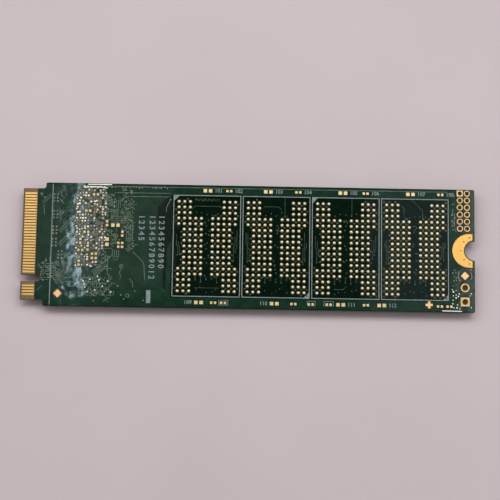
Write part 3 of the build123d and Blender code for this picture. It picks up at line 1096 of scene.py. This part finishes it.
def escapes_of_site(index, x, chance):
    """Short tracks and vias between the lands of one flash site, whose middle is at x.

    The last site has the most and widest of them, so that it reads lighter: painted light.
    """
    last = index == len(SITE_TRACKS) - 1
    # The last site gets more and wider escapes, painted light where brighter light falls on it
    rounds, share, part = (2, 0.95, 0.9) if last else (1, 0.8, 0.7)
    half_pitch = 0.5
    tracks = []
    spots = set()
    lands = [middle.xy / MM for middle, _ in islands(f"flash_site_{index + 1}_lands")]
    for land in lands * rounds:
        side = half_pitch * chance.choice((-1, 1))
        spot = (round(land.x + math.copysign(half_pitch, land.x - x), 3), round(land.y + side, 3))
        if spot not in spots and chance.random() < share:
            spots.add(spot)
            tracks.append([tuple(land), spot])
    return tracks, [(*spot, part) for spot in sorted(spots)], []


def runs_of_site(index, x, chance):
    """Longer tracks and loose vias round the lands of one flash site, whose middle is at x.

    The first site has a track that snakes.
    """
    part, small_part = 0.55, 0.5
    lanes, lane_x, lane_gap, jog = 2, 4.75, 0.33, 0.25
    low_ends, bends, high_ends = (-3.0, -0.9), (-0.5, 0.3), (0.8, 3.0)
    middle_count, middle_x, middle_y = 14, 0.45, 5.3
    columns, first_column, column_gap, column_scatter = 5, 1.9, 0.95, 0.3
    foot_y, drops = -5.45, (0.4, 1.0)
    low_vias, high_vias = (-8.3, -7.3), (5.6, 6.3)
    tracks = [[(x + along, y) for along, y in path] for path in SITE_TRACKS[index]]
    vias = []
    if index == 0:
        tracks.append(wave(x - 2.1, 8.2, reach=4.2, height=0.3, turns=11))
    for side in (-1, 1):
        for lane in range(lanes):
            along = x + side * (lane_x + lane_gap * lane)
            low = chance.uniform(*low_ends)
            bend = chance.uniform(*bends)
            high = chance.uniform(*high_ends)
            beside = along + side * jog
            tracks.append([(along, low), (along, bend), (beside, bend + jog), (beside, high)])
            vias.append((along, low, part))
    for _ in range(middle_count):
        vias.append((x + chance.uniform(-middle_x, middle_x), chance.uniform(-middle_y, middle_y), part))
    for column in range(columns):
        along = x - first_column + column * column_gap
        drop = chance.uniform(*drops)
        tracks.append([(along, foot_y), (along, foot_y - drop)])
        vias.append((along, foot_y - drop, part))
        shifted = along + chance.uniform(-column_scatter, column_scatter)
        vias.append((shifted, chance.uniform(*low_vias), small_part))
        vias.append((along, chance.uniform(*high_vias), small_part))
    return tracks, vias, []


def tail_copper(chance):
    """Masked and open vias round the test holes and beside the header at the end of the card."""
    count = 40
    tail_x, low_y, high_y = (36.0, 39.4), (-10.4, -3.4), (3.6, 10.4)
    hole_share, mark_width, via_width, space = 1.4, 1.8, 0.2, 0.3
    # Vias below this y are drawn open and near white, as painted glint
    open_below = -6.6
    masked_parts, open_parts = (0.5, 0.75), (0.4, 0.7)
    kept = [(middle.x / MM, middle.y / MM, hole_share * width / MM) for middle, width, _, _ in plated_holes()]
    kept += [(middle.x / MM, middle.y / MM, mark_width) for middle, _ in islands("alignment_diamonds")]
    spots = []
    while len(spots) < count:
        x = chance.uniform(*tail_x)
        y = chance.choice((chance.uniform(*low_y), chance.uniform(*high_y)))
        near = kept + [(*other, via_width) for other in spots]
        if all(math.hypot(x - a, y - b) > space + width / 2 for a, b, width in near):
            spots.append((x, y))
    vias = [(*spot, chance.uniform(*masked_parts)) for spot in spots if spot[1] > open_below]
    open_vias = [(*spot, chance.uniform(*open_parts)) for spot in spots if spot[1] < open_below]
    return [], vias, open_vias


def number_places(node, width):
    """Free places beside the pairs of pads of an edge strip, with room for a number of this width."""
    row_space = 0.5 * MM
    pad_space = 0.38 * MM
    side_space = 0.15 * MM
    pads = sorted(islands(node), key=lambda pad: pad[0].x)
    y = pads[0][0].y
    others = [mark for other in ("alignment_cross", *SLEEVES) for mark in islands(other)]
    taken = [
        (middle.x - size.x / 2, middle.x + size.x / 2)
        for middle, size in pads + others
        if abs(middle.y - y) < size.y / 2 + row_space
    ]
    taken += [(low_x * MM, high_x * MM) for low_x, _, high_x, _ in PRINTED_BOXES if y < 0]
    found = []
    for (first, size), (last, _) in zip(pads[::2], pads[1::2]):
        reach = (last.x - first.x + size.x + width) / 2 + pad_space
        for x in ((first.x + last.x) / 2 + reach, (first.x + last.x) / 2 - reach):
            low, high = x - width / 2 - side_space, x + width / 2 + side_space
            if all(high < start or low > end for start, end in taken):
                taken.append((low, high))
                found.append(x)
                break
    return found


class CARD_OT_laminate(bpy.types.Operator):
    """Give the bare board its laminate."""

    bl_idname = "drive_card.laminate"
    bl_label = "Laminate board"

    def execute(self, context):
        dress("circuit_board", routed_laminate())
        return {"FINISHED"}


class CARD_OT_mask(bpy.types.Operator):
    """Lay the solder mask on both faces, open round every bare metal feature."""

    bl_idname = "drive_card.mask"
    bl_label = "Solder mask"

    def execute(self, context):
        sizes = context.scene.card_sizes
        openings = back_openings(sizes.mask_space) + through_openings(sizes.mask_space)
        mesh = bmesh.new()
        sheet(mesh, [board_outline(BACK)], openings, BACK, BACK + sizes.mask_height)
        add_piece("mask_back", mesh, mask_on_laminate())
        mesh = bmesh.new()
        outline = board_outline(FRONT)
        sheet(mesh, [outline], through_openings(sizes.mask_space), FRONT - sizes.mask_height, FRONT)
        add_piece("mask_front", mesh, mask_on_copper())
        return {"FINISHED"}


class CARD_OT_copper(bpy.types.Operator):
    """Raise the mask over copper areas, tracks and vias of the back, and plate the bare ones in painted glint.
    """

    bl_idname = "drive_card.copper"
    bl_label = "Masked copper"

    def execute(self, context):
        sizes = context.scene.card_sizes
        chance = random.Random(COPPER_SEED)
        field = controller_copper(chance)
        openings = back_openings(sizes.copper_space) + through_openings(sizes.copper_space)
        openings += [places(moat) for moat in MOATS]
        for x, y, part in field[1] + field[2]:
            if x < DENSE_END:
                wide = part * sizes.via_width + 2 * sizes.via_space
                openings.append(flat(disc(x * MM, y * MM, 0, wide, steps=3)))
        mesh = bmesh.new()
        areas = [box_outline(*area) for area in COPPER_AREAS]
        sheet(mesh, areas, openings, BACK, BACK + sizes.copper_height, board_outline(BACK))
        add_piece("copper_areas_back", mesh, mask_on_copper())
        mesh = bmesh.new()
        openings = back_openings(sizes.mask_space)
        sheet(mesh, [places(DENSE_COPPER)], openings, BACK, BACK + sizes.dense_height)
        add_piece("dense_copper_back", mesh, mask_on_dense_copper())
        open_copper = [connector_copper(), field, loose_copper(chance), tail_copper(chance)]
        open_copper.append(crowded_copper(random.Random(CROWDED_SEED)))
        middles = [(low.x + high.x) / 2 / MM for low, high in SITE_BOXES]
        runs = [runs_of_site(index, x, chance) for index, x in enumerate(middles)]
        escapes = [escapes_of_site(index, x, chance) for index, x in enumerate(middles)]
        self.add_copper("", open_copper, mask_on_track(), mask_on_via())
        self.add_copper("site_", runs, mask_on_site_track(), mask_on_site_track())
        self.add_copper("land_", escapes, mask_on_fine_copper(), mask_on_fine_copper())
        sliver = 1.6 * sizes.track_width
        mesh = bmesh.new()
        # Open vias and slivers in near-white gold: painted glint
        for _, _, spots in open_copper:
            for x, y, part in spots:
                via(mesh, x * MM, y * MM, part * sizes.via_width, BACK, BACK + sizes.via_height)
        # Near-white slivers at the edges: painted highlight
        for path in GLINT_SLIVERS:
            track(mesh, places(path), sliver, BACK, BACK + sizes.via_height)
        add_piece("open_vias_back", mesh, via_gold())
        return {"FINISHED"}

    def add_copper(self, prefix, copper, track_finish, via_finish):
        """Raise the mask over tracks and vias, and sink a dark hole in each via."""
        sizes = bpy.context.scene.card_sizes
        tracks = bmesh.new()
        vias = bmesh.new()
        holes = bmesh.new()
        for paths, spots, _ in copper:
            for path in paths:
                track(tracks, places(path), sizes.track_width, BACK, BACK + sizes.track_height)
            for x, y, part in spots:
                place = (x * MM, y * MM)
                via(vias, *place, part * sizes.via_width, BACK, BACK + sizes.via_height)
                bore = part * sizes.via_bore
                loft(holes, [disc(*place, BACK + rise, bore, steps=2) for rise in (0, sizes.via_height)])
        add_piece(f"{prefix}tracks_back", tracks, track_finish)
        add_piece(f"{prefix}vias_back", vias, via_finish)
        add_piece(f"{prefix}via_holes_back", holes, mask_on_laminate())


class CARD_OT_contacts(bpy.types.Operator):
    """Shape the gold contacts on both faces of the tongue, and the bare laminate between them in painted shade.
    """

    bl_idname = "drive_card.contacts"
    bl_label = "Edge contacts"

    def execute(self, context):
        sizes = context.scene.card_sizes
        corner = 0.06 * MM
        for node, face, side in (("edge_contacts_back", BACK, 1), ("edge_contacts_front", FRONT, -1)):
            mesh = bmesh.new()
            for middle, size in islands(node):
                tip = face + side * size.z
                block(mesh, *middle.xy, size.x, size.y, face, tip, corner, sizes.plating_edge)
            add_piece(f"plated_{node}", mesh, hard_gold(), [node])
            # The near-black laminate laid in the gaps between contacts is painted shade
            mesh = bmesh.new()
            contacts = sorted(islands(node), key=lambda contact: contact[0].y)
            for (lower, size), (upper, _) in zip(contacts, contacts[1:]):
                neighbours = upper.y - lower.y < 2 * size.y
                if neighbours:
                    x, y = ((lower + upper) / 2).xy
                    gap = upper.y - lower.y - size.y
                    corners = ring(x, y, face, size.x, gap, radius=0, steps=1)
                    raised = [(a, b, face + side * sizes.mask_height) for a, b, _ in corners]
                    loft(mesh, [corners, raised])
            add_piece(f"spaces_of_{node}", mesh, etched_laminate())
        return {"FINISHED"}


class CARD_OT_lands(bpy.types.Operator):
    """Shape the lands of the empty flash sites as low round domes."""

    bl_idname = "drive_card.lands"
    bl_label = "Flash site lands"

    def execute(self, context):
        # Shares of a land's width and of its height
        shape = ((1.0, 0.0), (1.0, 0.3), (0.92, 0.55), (0.7, 0.8), (0.4, 0.95), (0.12, 1.0))
        for site in SITES:
            node = f"flash_site_{site}_lands"
            mesh = bmesh.new()
            for middle, size in islands(node):
                rings = [disc(*middle.xy, BACK + rise * size.z, part * size.y) for part, rise in shape]
                loft(mesh, rings)
            add_piece(f"plated_{node}", mesh, thin_gold(), [node])
        return {"FINISHED"}


class CARD_OT_pads(bpy.types.Operator):
    """Shape the square gold pads of the small chips that are not fitted."""

    bl_idname = "drive_card.pads"
    bl_label = "Empty pads"

    def execute(self, context):
        edge = context.scene.card_sizes.plating_edge
        for node in ("upper_edge_pads", "lower_edge_pads", "controller_pads"):
            mesh = bmesh.new()
            for middle, size in islands(node):
                block(mesh, *middle.xy, size.x, size.y, BACK, BACK + size.z, PAD_CORNER, edge)
            add_piece(f"plated_{node}", mesh, pad_gold(), [node])
        return {"FINISHED"}


class CARD_OT_plated_holes(bpy.types.Operator):
    """Shape the plated holes as eyelets with rounded lips, plugged below their rims in painted shade."""

    bl_idname = "drive_card.plated_holes"
    bl_label = "Plated holes"

    def execute(self, context):
        edge = context.scene.card_sizes.plating_edge
        low, high = (corner.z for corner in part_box("header_sleeves"))
        mesh = bmesh.new()
        plugs = bmesh.new()
        lips = ((low, edge), (low + edge, 0.0), (high - edge, 0.0), (high, edge))
        plug_depth = 0.3 * MM
        for middle, width, bore, square in plated_holes():
            corner = PAD_CORNER if square else width / 2
            rings = []
            for height, inset in lips:
                wide = width - 2 * inset
                rings.append(ring(*middle.xy, height, wide, wide, max(corner - inset, 0)))
            rings += [disc(*middle.xy, height, bore + 2 * inset) for height, inset in reversed(lips)]
            loft(mesh, rings, closed=True)
            # Each plug is a dark disc whose colour is painted shade of the bore
            plug_ends = (low + plug_depth, high - plug_depth)
            loft(plugs, [disc(*middle.xy, height, bore) for height in plug_ends])
        add_piece("plated_eyelets", mesh, eyelet_gold(), SLEEVES)
        add_piece("hole_plugs", plugs, plugging_epoxy())
        return {"FINISHED"}


class CARD_OT_ground_pads(bpy.types.Operator):
    """Shape the crescent ground pads round the screw notch, with their row of small vias."""

    bl_idname = "drive_card.ground_pads"
    bl_label = "Ground pads"

    def execute(self, context):
        bore = context.scene.card_sizes.ground_bore
        reach = context.scene.card_sizes.ground_reach
        turns = [math.radians(180 + turn) for turn in (-69, -40, 0, 40, 69)]
        bores = [
            flat(disc(END_X + reach * math.cos(turn), reach * math.sin(turn), 0, bore)) for turn in turns
        ]
        for node in ("ground_pad_back", "ground_pad_front"):
            low, high = (corner.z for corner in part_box(node))
            mesh = bmesh.new()
            sheet(mesh, [crescent()], bores, low, high)
            add_piece(f"plated_{node}", mesh, ground_gold(), [node])
        return {"FINISHED"}


class CARD_OT_marks(bpy.types.Operator):
    """Shape the gold diamonds and the cross that assembly cameras look for."""

    bl_idname = "drive_card.marks"
    bl_label = "Alignment marks"

    def execute(self, context):
        edge = context.scene.card_sizes.plating_edge
        mesh = bmesh.new()
        for middle, size in islands("alignment_diamonds"):
            turns = [quarter * math.pi / 2 for quarter in range(4)]
            reach = size.x / 2
            outline = [
                (middle.x + reach * math.cos(turn), middle.y + reach * math.sin(turn)) for turn in turns
            ]
            plate(mesh, outline, BACK, BACK + size.z, edge)
        for middle, size in islands("alignment_cross"):
            reach = size.x / 2
            arm = min(abs(point.y - middle.y) for point in solids("alignment_cross")[0])
            outline = [
                (reach, -arm), (reach, arm), (arm, arm), (arm, reach), (-arm, reach), (-arm, arm),
                (-reach, arm), (-reach, -arm), (-arm, -arm), (-arm, -reach), (arm, -reach), (arm, -arm),
            ]
            moved = [(middle.x + x, middle.y + y) for x, y in outline]
            plate(mesh, moved, BACK, BACK + size.z, edge)
        nodes = ["alignment_diamonds", "alignment_cross"]
        add_piece("plated_marks", mesh, mark_gold(), nodes)
        return {"FINISHED"}


class CARD_OT_print(bpy.types.Operator):
    """Ink the printed outlines; add boxes, a bracket, chip outlines, numbers and painted highlight arcs by a
    diamond.
    """

    bl_idname = "drive_card.print"
    bl_label = "White print"

    def execute(self, context):
        sizes = context.scene.card_sizes
        printed = [f"flash_site_{site}_print" for site in SITES] + ["connector_line", "printed_bar"]
        for node in printed:
            dress(node, white_ink())
        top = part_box("connector_line")[1].z
        line = sizes.fine_print_line
        highlight_reach, highlight_turn, highlight_line = 1.2 * MM, 0.6, 2.2 * line
        label_width = 1.6 * sizes.digit_height
        layer_height = 1.5 * sizes.digit_height
        chip_space = 0.14 * MM
        mesh = bmesh.new()
        for low_x, low_y, high_x, high_y in PRINTED_BOXES:
            inset = line / MM
            inner = box_outline(low_x + inset, low_y + inset, high_x - inset, high_y - inset)
            sheet(mesh, [box_outline(low_x, low_y, high_x, high_y)], [inner], BACK, top)
        for path in PRINTED_LINES:
            track(mesh, places(path), line, BACK, top)
        # White arcs either side of the last diamond: painted highlight of the mask's edge round its opening
        mark = max((middle for middle, _ in islands("alignment_diamonds")), key=lambda middle: middle.x)
        for turn in (0, math.pi):
            highlight_arc = arc(*mark.xy, highlight_reach, turn - highlight_turn, turn + highlight_turn, steps=8)
            track(mesh, highlight_arc, highlight_line, BACK, top)
        add_piece("fine_print_lines", mesh, white_ink())
        mesh = bmesh.new()
        label = FIRST_LABEL
        for node in ("upper_edge_pads", "lower_edge_pads"):
            y = islands(node)[0][0].y
            for x in number_places(node, label_width):
                number(mesh, str(label), x, y, sizes.digit_height, BACK, top)
                label += 1
        for x, digits in LAYER_NUMBERS:
            for index, digit in enumerate(digits):
                place = (x * MM, (LAYER_TOP - LAYER_PITCH * index) * MM)
                number(mesh, digit, *place, layer_height, BACK, top, -math.pi / 2)
        add_piece("printed_numbers", mesh, white_ink())
        mesh = bmesh.new()
        for node in ("controller", "working_memory", "power_manager", "boot_memory", "load_switch"):
            _, _, middle, width, depth = footprint(node)
            outlines = []
            for grow in (chip_space + line, chip_space):
                wide, deep = width + 2 * grow, depth + 2 * grow
                outlines.append(flat(ring(*middle.xy, 0, wide, deep, radius=0, steps=1)))
            sheet(mesh, outlines[:1], outlines[1:], FRONT - (top - BACK), FRONT)
        add_piece("chip_outlines_front", mesh, white_ink())
        return {"FINISHED"}


class CARD_OT_ball_packages(bpy.types.Operator):
    """Build the flash packages, controller and memory: mould, base board and solder balls."""

    bl_idname = "drive_card.ball_packages"
    bl_label = "Ball packages"

    def execute(self, context):
        flash_ball = 0.5 * MM
        ball_share = 0.55
        for site in SITES:
            balls = [middle.xy for middle, _ in islands(f"flash_site_{site}_lands")]
            self.add_package(f"flash_package_{site}", balls, flash_ball)
        for node, pitch in (("controller", 0.65 * MM), ("working_memory", 0.8 * MM)):
            self.add_package(node, self.ball_grid(node, pitch), ball_share * pitch)
        return {"FINISHED"}

    def ball_grid(self, node, pitch):
        """Places of a full grid of balls under a package."""
        _, _, middle, width, depth = footprint(node)
        counts = [int((reach - 2 * pitch) / pitch) for reach in (width, depth)]
        return [
            Vector((middle.x + (a - counts[0] / 2) * pitch, middle.y + (b - counts[1] / 2) * pitch))
            for a in range(counts[0] + 1)
            for b in range(counts[1] + 1)
        ]

    def add_package(self, node, balls, ball_width):
        """Replace one package by its mould, its base board and its balls."""
        edge = bpy.context.scene.card_sizes.mould_edge
        ball_height = bpy.context.scene.card_sizes.ball_height
        mould_corner = 0.12 * MM
        base_thickness, base_corner, base_edge = 0.2 * MM, 0.05 * MM, 0.02 * MM
        mark_inset, mark_width, mark_depth = 1.1 * MM, 0.9 * MM, 0.03 * MM
        low, high, middle, width, depth = footprint(node)
        base_top = FRONT - ball_height
        base_low = base_top - base_thickness
        mark = (low.x + mark_inset, high.y - mark_inset, mark_width, mark_depth)
        mesh = bmesh.new()
        block(mesh, *middle.xy, width, depth, base_low, low.z, mould_corner, edge, mark)
        add_piece(f"mould_of_{node}", mesh, mould_compound(), [node])
        mesh = bmesh.new()
        block(mesh, *middle.xy, width, depth, base_low, base_top, base_corner, base_edge)
        add_piece(f"base_of_{node}", mesh, package_base())
        mesh = bmesh.new()
        # Shares of a ball's width and of its height
        shape = ((0.7, 0.0), (0.93, 0.25), (1.0, 0.5), (0.93, 0.75), (0.7, 1.0))
        for x, y in balls:
            rings = []
            for part, drop in shape:
                rings.append(disc(x, y, FRONT - drop * ball_height, part * ball_width, steps=2))
            loft(mesh, rings)
        add_piece(f"balls_of_{node}", mesh, reflowed_solder())


class CARD_OT_flat_packages(bpy.types.Operator):
    """Build the power manager, boot memory and load switch: mould with tinned leads along its sides."""

    bl_idname = "drive_card.flat_packages"
    bl_label = "Flat packages"

    def execute(self, context):
        edge = 2 * context.scene.card_sizes.plating_edge
        corner = 0.05 * MM
        mark_inset, mark_width, mark_depth = 0.4 * MM, 0.35 * MM, 0.02 * MM
        pitches = {"power_manager": 0.4 * MM, "boot_memory": 0.5 * MM, "load_switch": 0.5 * MM}
        for node, pitch in pitches.items():
            low, high, middle, width, depth = footprint(node)
            mark = (low.x + mark_inset, high.y - mark_inset, mark_width, mark_depth)
            mesh = bmesh.new()
            block(mesh, *middle.xy, width, depth, FRONT, low.z, corner, edge, mark)
            add_piece(f"mould_of_{node}", mesh, mould_compound(), [node])
            mesh = bmesh.new()
            for side in (-1, 1):
                self.add_leads(mesh, middle.x, width - pitch, pitch, middle.y + side * depth / 2)
            add_piece(f"leads_of_{node}", mesh, reflowed_solder())
        return {"FINISHED"}

    def add_leads(self, mesh, x, reach, pitch, y):
        """A row of leads along one side."""
        lead_width, lead_depth, lead_height = 0.55 * pitch, 0.24 * MM, 0.2 * MM
        corner, edge = 0.03 * MM, 0.02 * MM
        count = int(reach / pitch)
        for index in range(count + 1):
            along = x + (index - count / 2) * pitch
            block(mesh, along, y, lead_width, lead_depth, FRONT, FRONT - lead_height, corner, edge)


class CARD_OT_crystal(bpy.types.Operator):
    """Build the clock crystal: dark base and plated lid."""

    bl_idname = "drive_card.crystal"
    bl_label = "Clock crystal"

    def execute(self, context):
        step = FRONT - 0.2 * MM
        base_corner, base_edge = 0.1 * MM, 0.02 * MM
        rim, lid_corner, lid_edge = 0.24 * MM, 0.2 * MM, 0.06 * MM
        low, _, middle, width, depth = footprint("clock_crystal")
        mesh = bmesh.new()
        block(mesh, *middle.xy, width, depth, FRONT, step, base_corner, base_edge)
        add_piece("crystal_base", mesh, mould_compound(), ["clock_crystal"])
        mesh = bmesh.new()
        block(mesh, *middle.xy, width - rim, depth - rim, step, low.z, lid_corner, lid_edge)
        add_piece("crystal_lid", mesh, plated_lid())
        return {"FINISHED"}


class CARD_OT_inductors(bpy.types.Operator):
    """Build the power inductors: pressed bodies with tinned ends."""

    bl_idname = "drive_card.inductors"
    bl_label = "Power inductors"

    def execute(self, context):
        body_top = FRONT - 0.05 * MM
        body_corner, body_edge = 0.3 * MM, 0.1 * MM
        end_tip = FRONT - 0.3 * MM
        end_inset, end_width, end_share = 0.28 * MM, 0.62 * MM, 0.6
        end_corner, end_edge = 0.05 * MM, 0.03 * MM
        for index in range(1, 4):
            node = f"power_inductor_{index}"
            low, _, middle, width, depth = footprint(node)
            mesh = bmesh.new()
            block(mesh, *middle.xy, width, depth, body_top, low.z, body_corner, body_edge)
            add_piece(f"body_of_{node}", mesh, pressed_ferrite(), [node])
            mesh = bmesh.new()
            for side in (-1, 1):
                x = middle.x + side * (width / 2 - end_inset)
                end_depth = end_share * depth
                block(mesh, x, middle.y, end_width, end_depth, FRONT, end_tip, end_corner, end_edge)
            add_piece(f"ends_of_{node}", mesh, reflowed_solder())
        return {"FINISHED"}


def capped_chips(node, body_finish):
    """Replace like chips by bodies between tinned ends that are soldered to the board.

    A solder foot is drawn by rings: shares of the chip's height, length, width and, for its corner, length.
    """
    skin = 0.02 * MM
    body_share, end_share, end_place = 0.7, 0.25, 0.375
    edge_share, end_corner = 0.04, 0.05
    foot = ((0.0, 0.55, 1.1, 0.06), (0.15, 0.34, 1.03, 0.05), (0.5, 0.26, 1.0, 0.05))
    bodies = bmesh.new()
    ends = bmesh.new()
    for middle, size in islands(node):
        tip = FRONT - size.z
        edge = edge_share * size.x
        width, depth = body_share * size.x, size.y - 2 * skin
        block(bodies, *middle.xy, width, depth, FRONT - skin, tip + skin, edge, edge)
        for side in (-1, 1):
            x = middle.x + side * end_place * size.x
            block(ends, x, middle.y, end_share * size.x, size.y, FRONT, tip, end_corner * size.x, edge)
            rings = []
            for rise, along, across, corner in foot:
                height = FRONT - rise * size.z
                rings.append(
                    ring(x, middle.y, height, along * size.x, across * size.y, corner * size.x)
                )
            loft(ends, rings)
    add_piece(f"bodies_of_{node}", bodies, body_finish, [node])
    add_piece(f"ends_of_{node}", ends, reflowed_solder())


class CARD_OT_capacitors(bpy.types.Operator):
    """Build the ceramic capacitors: fired bodies with tinned, soldered ends."""

    bl_idname = "drive_card.capacitors"
    bl_label = "Capacitors"

    def execute(self, context):
        nodes = ("bulk_capacitors", "edge_capacitors_large", "edge_capacitors_small")
        for node in (*nodes, "coupling_capacitors", "decoupling_capacitors"):
            capped_chips(node, fired_ceramic())
        return {"FINISHED"}


class CARD_OT_resistors(bpy.types.Operator):
    """Build the chip resistors: glazed bodies with tinned, soldered ends."""

    bl_idname = "drive_card.resistors"
    bl_label = "Resistors"

    def execute(self, context):
        capped_chips("chip_resistors", resistor_glaze())
        return {"FINISHED"}


class CARD_OT_stage(bpy.types.Operator):
    """Set the floor, the lamps, the room and the camera."""

    bl_idname = "drive_card.stage"
    bl_label = "Studio stage"

    def execute(self, context):
        stage = context.scene.card_stage
        self.add_floor()
        self.add_lamp("key_lamp", (0.0, 0.3, 0.52), (0.8, 0.24), stage.key_power)
        self.add_lamp("left_lamp", (-0.45, 0.1, 0.32), (0.35, 0.35), stage.fill_power)
        self.add_lamp("right_lamp", (0.45, 0.1, 0.32), (0.35, 0.35), stage.fill_power)
        self.add_lamp("end_lamp", (0.2, 0.09, 0.56), (0.16, 0.3), stage.end_power)
        self.add_lamp("site_lamp", (0.095, 0.09, 0.56), (0.05, 0.3), stage.site_power, stage.cool_tint)
        self.add_lamp("panel_lamp", (-0.083, 0.0995, 0.57), (0.1, 0.06), stage.panel_power)
        self.add_lamp(
            "strip_lamp", (-0.083, 0.0945, 0.56), (0.003, 0.0585), stage.strip_power, stage.cool_tint
        )
        self.light_room(stage.room_light)
        self.add_camera(stage)
        context.scene.view_settings.view_transform = "Standard"
        return {"FINISHED"}

    def add_floor(self):
        """A pale table top, wide enough to fill the view from any side."""
        half_width = 3.0
        mesh = bmesh.new()
        bmesh.ops.create_grid(mesh, x_segments=8, y_segments=8, size=half_width)
        data = bpy.data.meshes.new("table_top")
        mesh.to_mesh(data)
        mesh.free()
        data.materials.append(painted_table())
        floor = bpy.data.objects.new("table_top", data)
        bpy.context.scene.collection.objects.link(floor)

    def add_lamp(self, name, place, size, watts, tint=(1.0, 1.0, 1.0)):
        """A rectangular soft lamp that faces the card, with its width level."""
        lamp = bpy.data.lights.new(name, "AREA")
        lamp.shape = "RECTANGLE"
        lamp.size, lamp.size_y = size
        lamp.energy = watts
        lamp.color = tint
        holder = bpy.data.objects.new(name, lamp)
        backward = Vector(place).normalized()
        sideways = Vector((0, 1, 0)).cross(backward).normalized()
        axes = Matrix((sideways, backward.cross(sideways), backward)).transposed()
        holder.matrix_world = Matrix.Translation(place) @ axes.to_4x4()
        bpy.context.scene.collection.objects.link(holder)

    def light_room(self, strength):
        """Pale walls and a dark ceiling, so that the glossy mask stays deep in colour from above."""
        world = bpy.data.worlds.new("studio_room")
        world.use_nodes = True
        bpy.context.scene.world = world
        tree = world.node_tree
        heading = add_node(tree, "ShaderNodeTexCoord").outputs["Generated"]
        height = add_node(tree, "ShaderNodeSeparateXYZ", inputs={0: heading}).outputs["Z"]
        walls = add_node(tree, "ShaderNodeValToRGB", inputs={"Fac": height})
        heights, levels = (0.3, 0.5, 0.65, 0.85), (0.15, 1.0, 1.0, 0.04)
        stops = walls.color_ramp.elements
        for place in heights[1:3]:
            stops.new(place)
        for stop, place, level in zip(stops, heights, levels):
            stop.position = place
            stop.color = (level, level, level, 1.0)
        background = tree.nodes["Background"]
        background.inputs["Strength"].default_value = strength
        tree.links.new(walls.outputs["Color"], background.inputs["Color"])

    def add_camera(self, stage):
        """A camera where the card was seen from."""
        lens = bpy.data.cameras.new("camera")
        lens.lens = stage.lens
        lens.clip_start = 0.01
        camera = bpy.data.objects.new("camera", lens)
        camera.location = stage.camera_place
        camera.rotation_euler = stage.camera_turn
        bpy.context.scene.collection.objects.link(camera)
        bpy.context.scene.camera = camera


class CARD_PT_tools(bpy.types.Panel):
    """Lists the steps that dress the card."""

    bl_idname = "CARD_PT_tools"
    bl_label = "Drive card"
    bl_space_type = "VIEW_3D"
    bl_region_type = "UI"
    bl_category = "Drive card"

    def draw(self, context):
        for step in STEPS:
            self.layout.operator(step.bl_idname)


SETTINGS = {"card_sizes": CardSizes, "card_colours": CardColours, "card_stage": CardStage}
STEPS = (
    CARD_OT_laminate,
    CARD_OT_mask,
    CARD_OT_copper,
    CARD_OT_contacts,
    CARD_OT_lands,
    CARD_OT_pads,
    CARD_OT_plated_holes,
    CARD_OT_ground_pads,
    CARD_OT_marks,
    CARD_OT_print,
    CARD_OT_ball_packages,
    CARD_OT_flat_packages,
    CARD_OT_crystal,
    CARD_OT_inductors,
    CARD_OT_capacitors,
    CARD_OT_resistors,
    CARD_OT_stage,
)


def register():
    for name, group in SETTINGS.items():
        bpy.utils.register_class(group)
        setattr(bpy.types.Scene, name, PointerProperty(type=group))
    for step in (*STEPS, CARD_PT_tools):
        bpy.utils.register_class(step)


def unregister():
    for step in (CARD_PT_tools, *reversed(STEPS)):
        bpy.utils.unregister_class(step)
    for name, group in SETTINGS.items():
        delattr(bpy.types.Scene, name)
        bpy.utils.unregister_class(group)


def main():
    register()
    for step in STEPS:
        group, operator = step.bl_idname.split(".")
        getattr(getattr(bpy.ops, group), operator)()


if __name__ == "__main__":
    main()
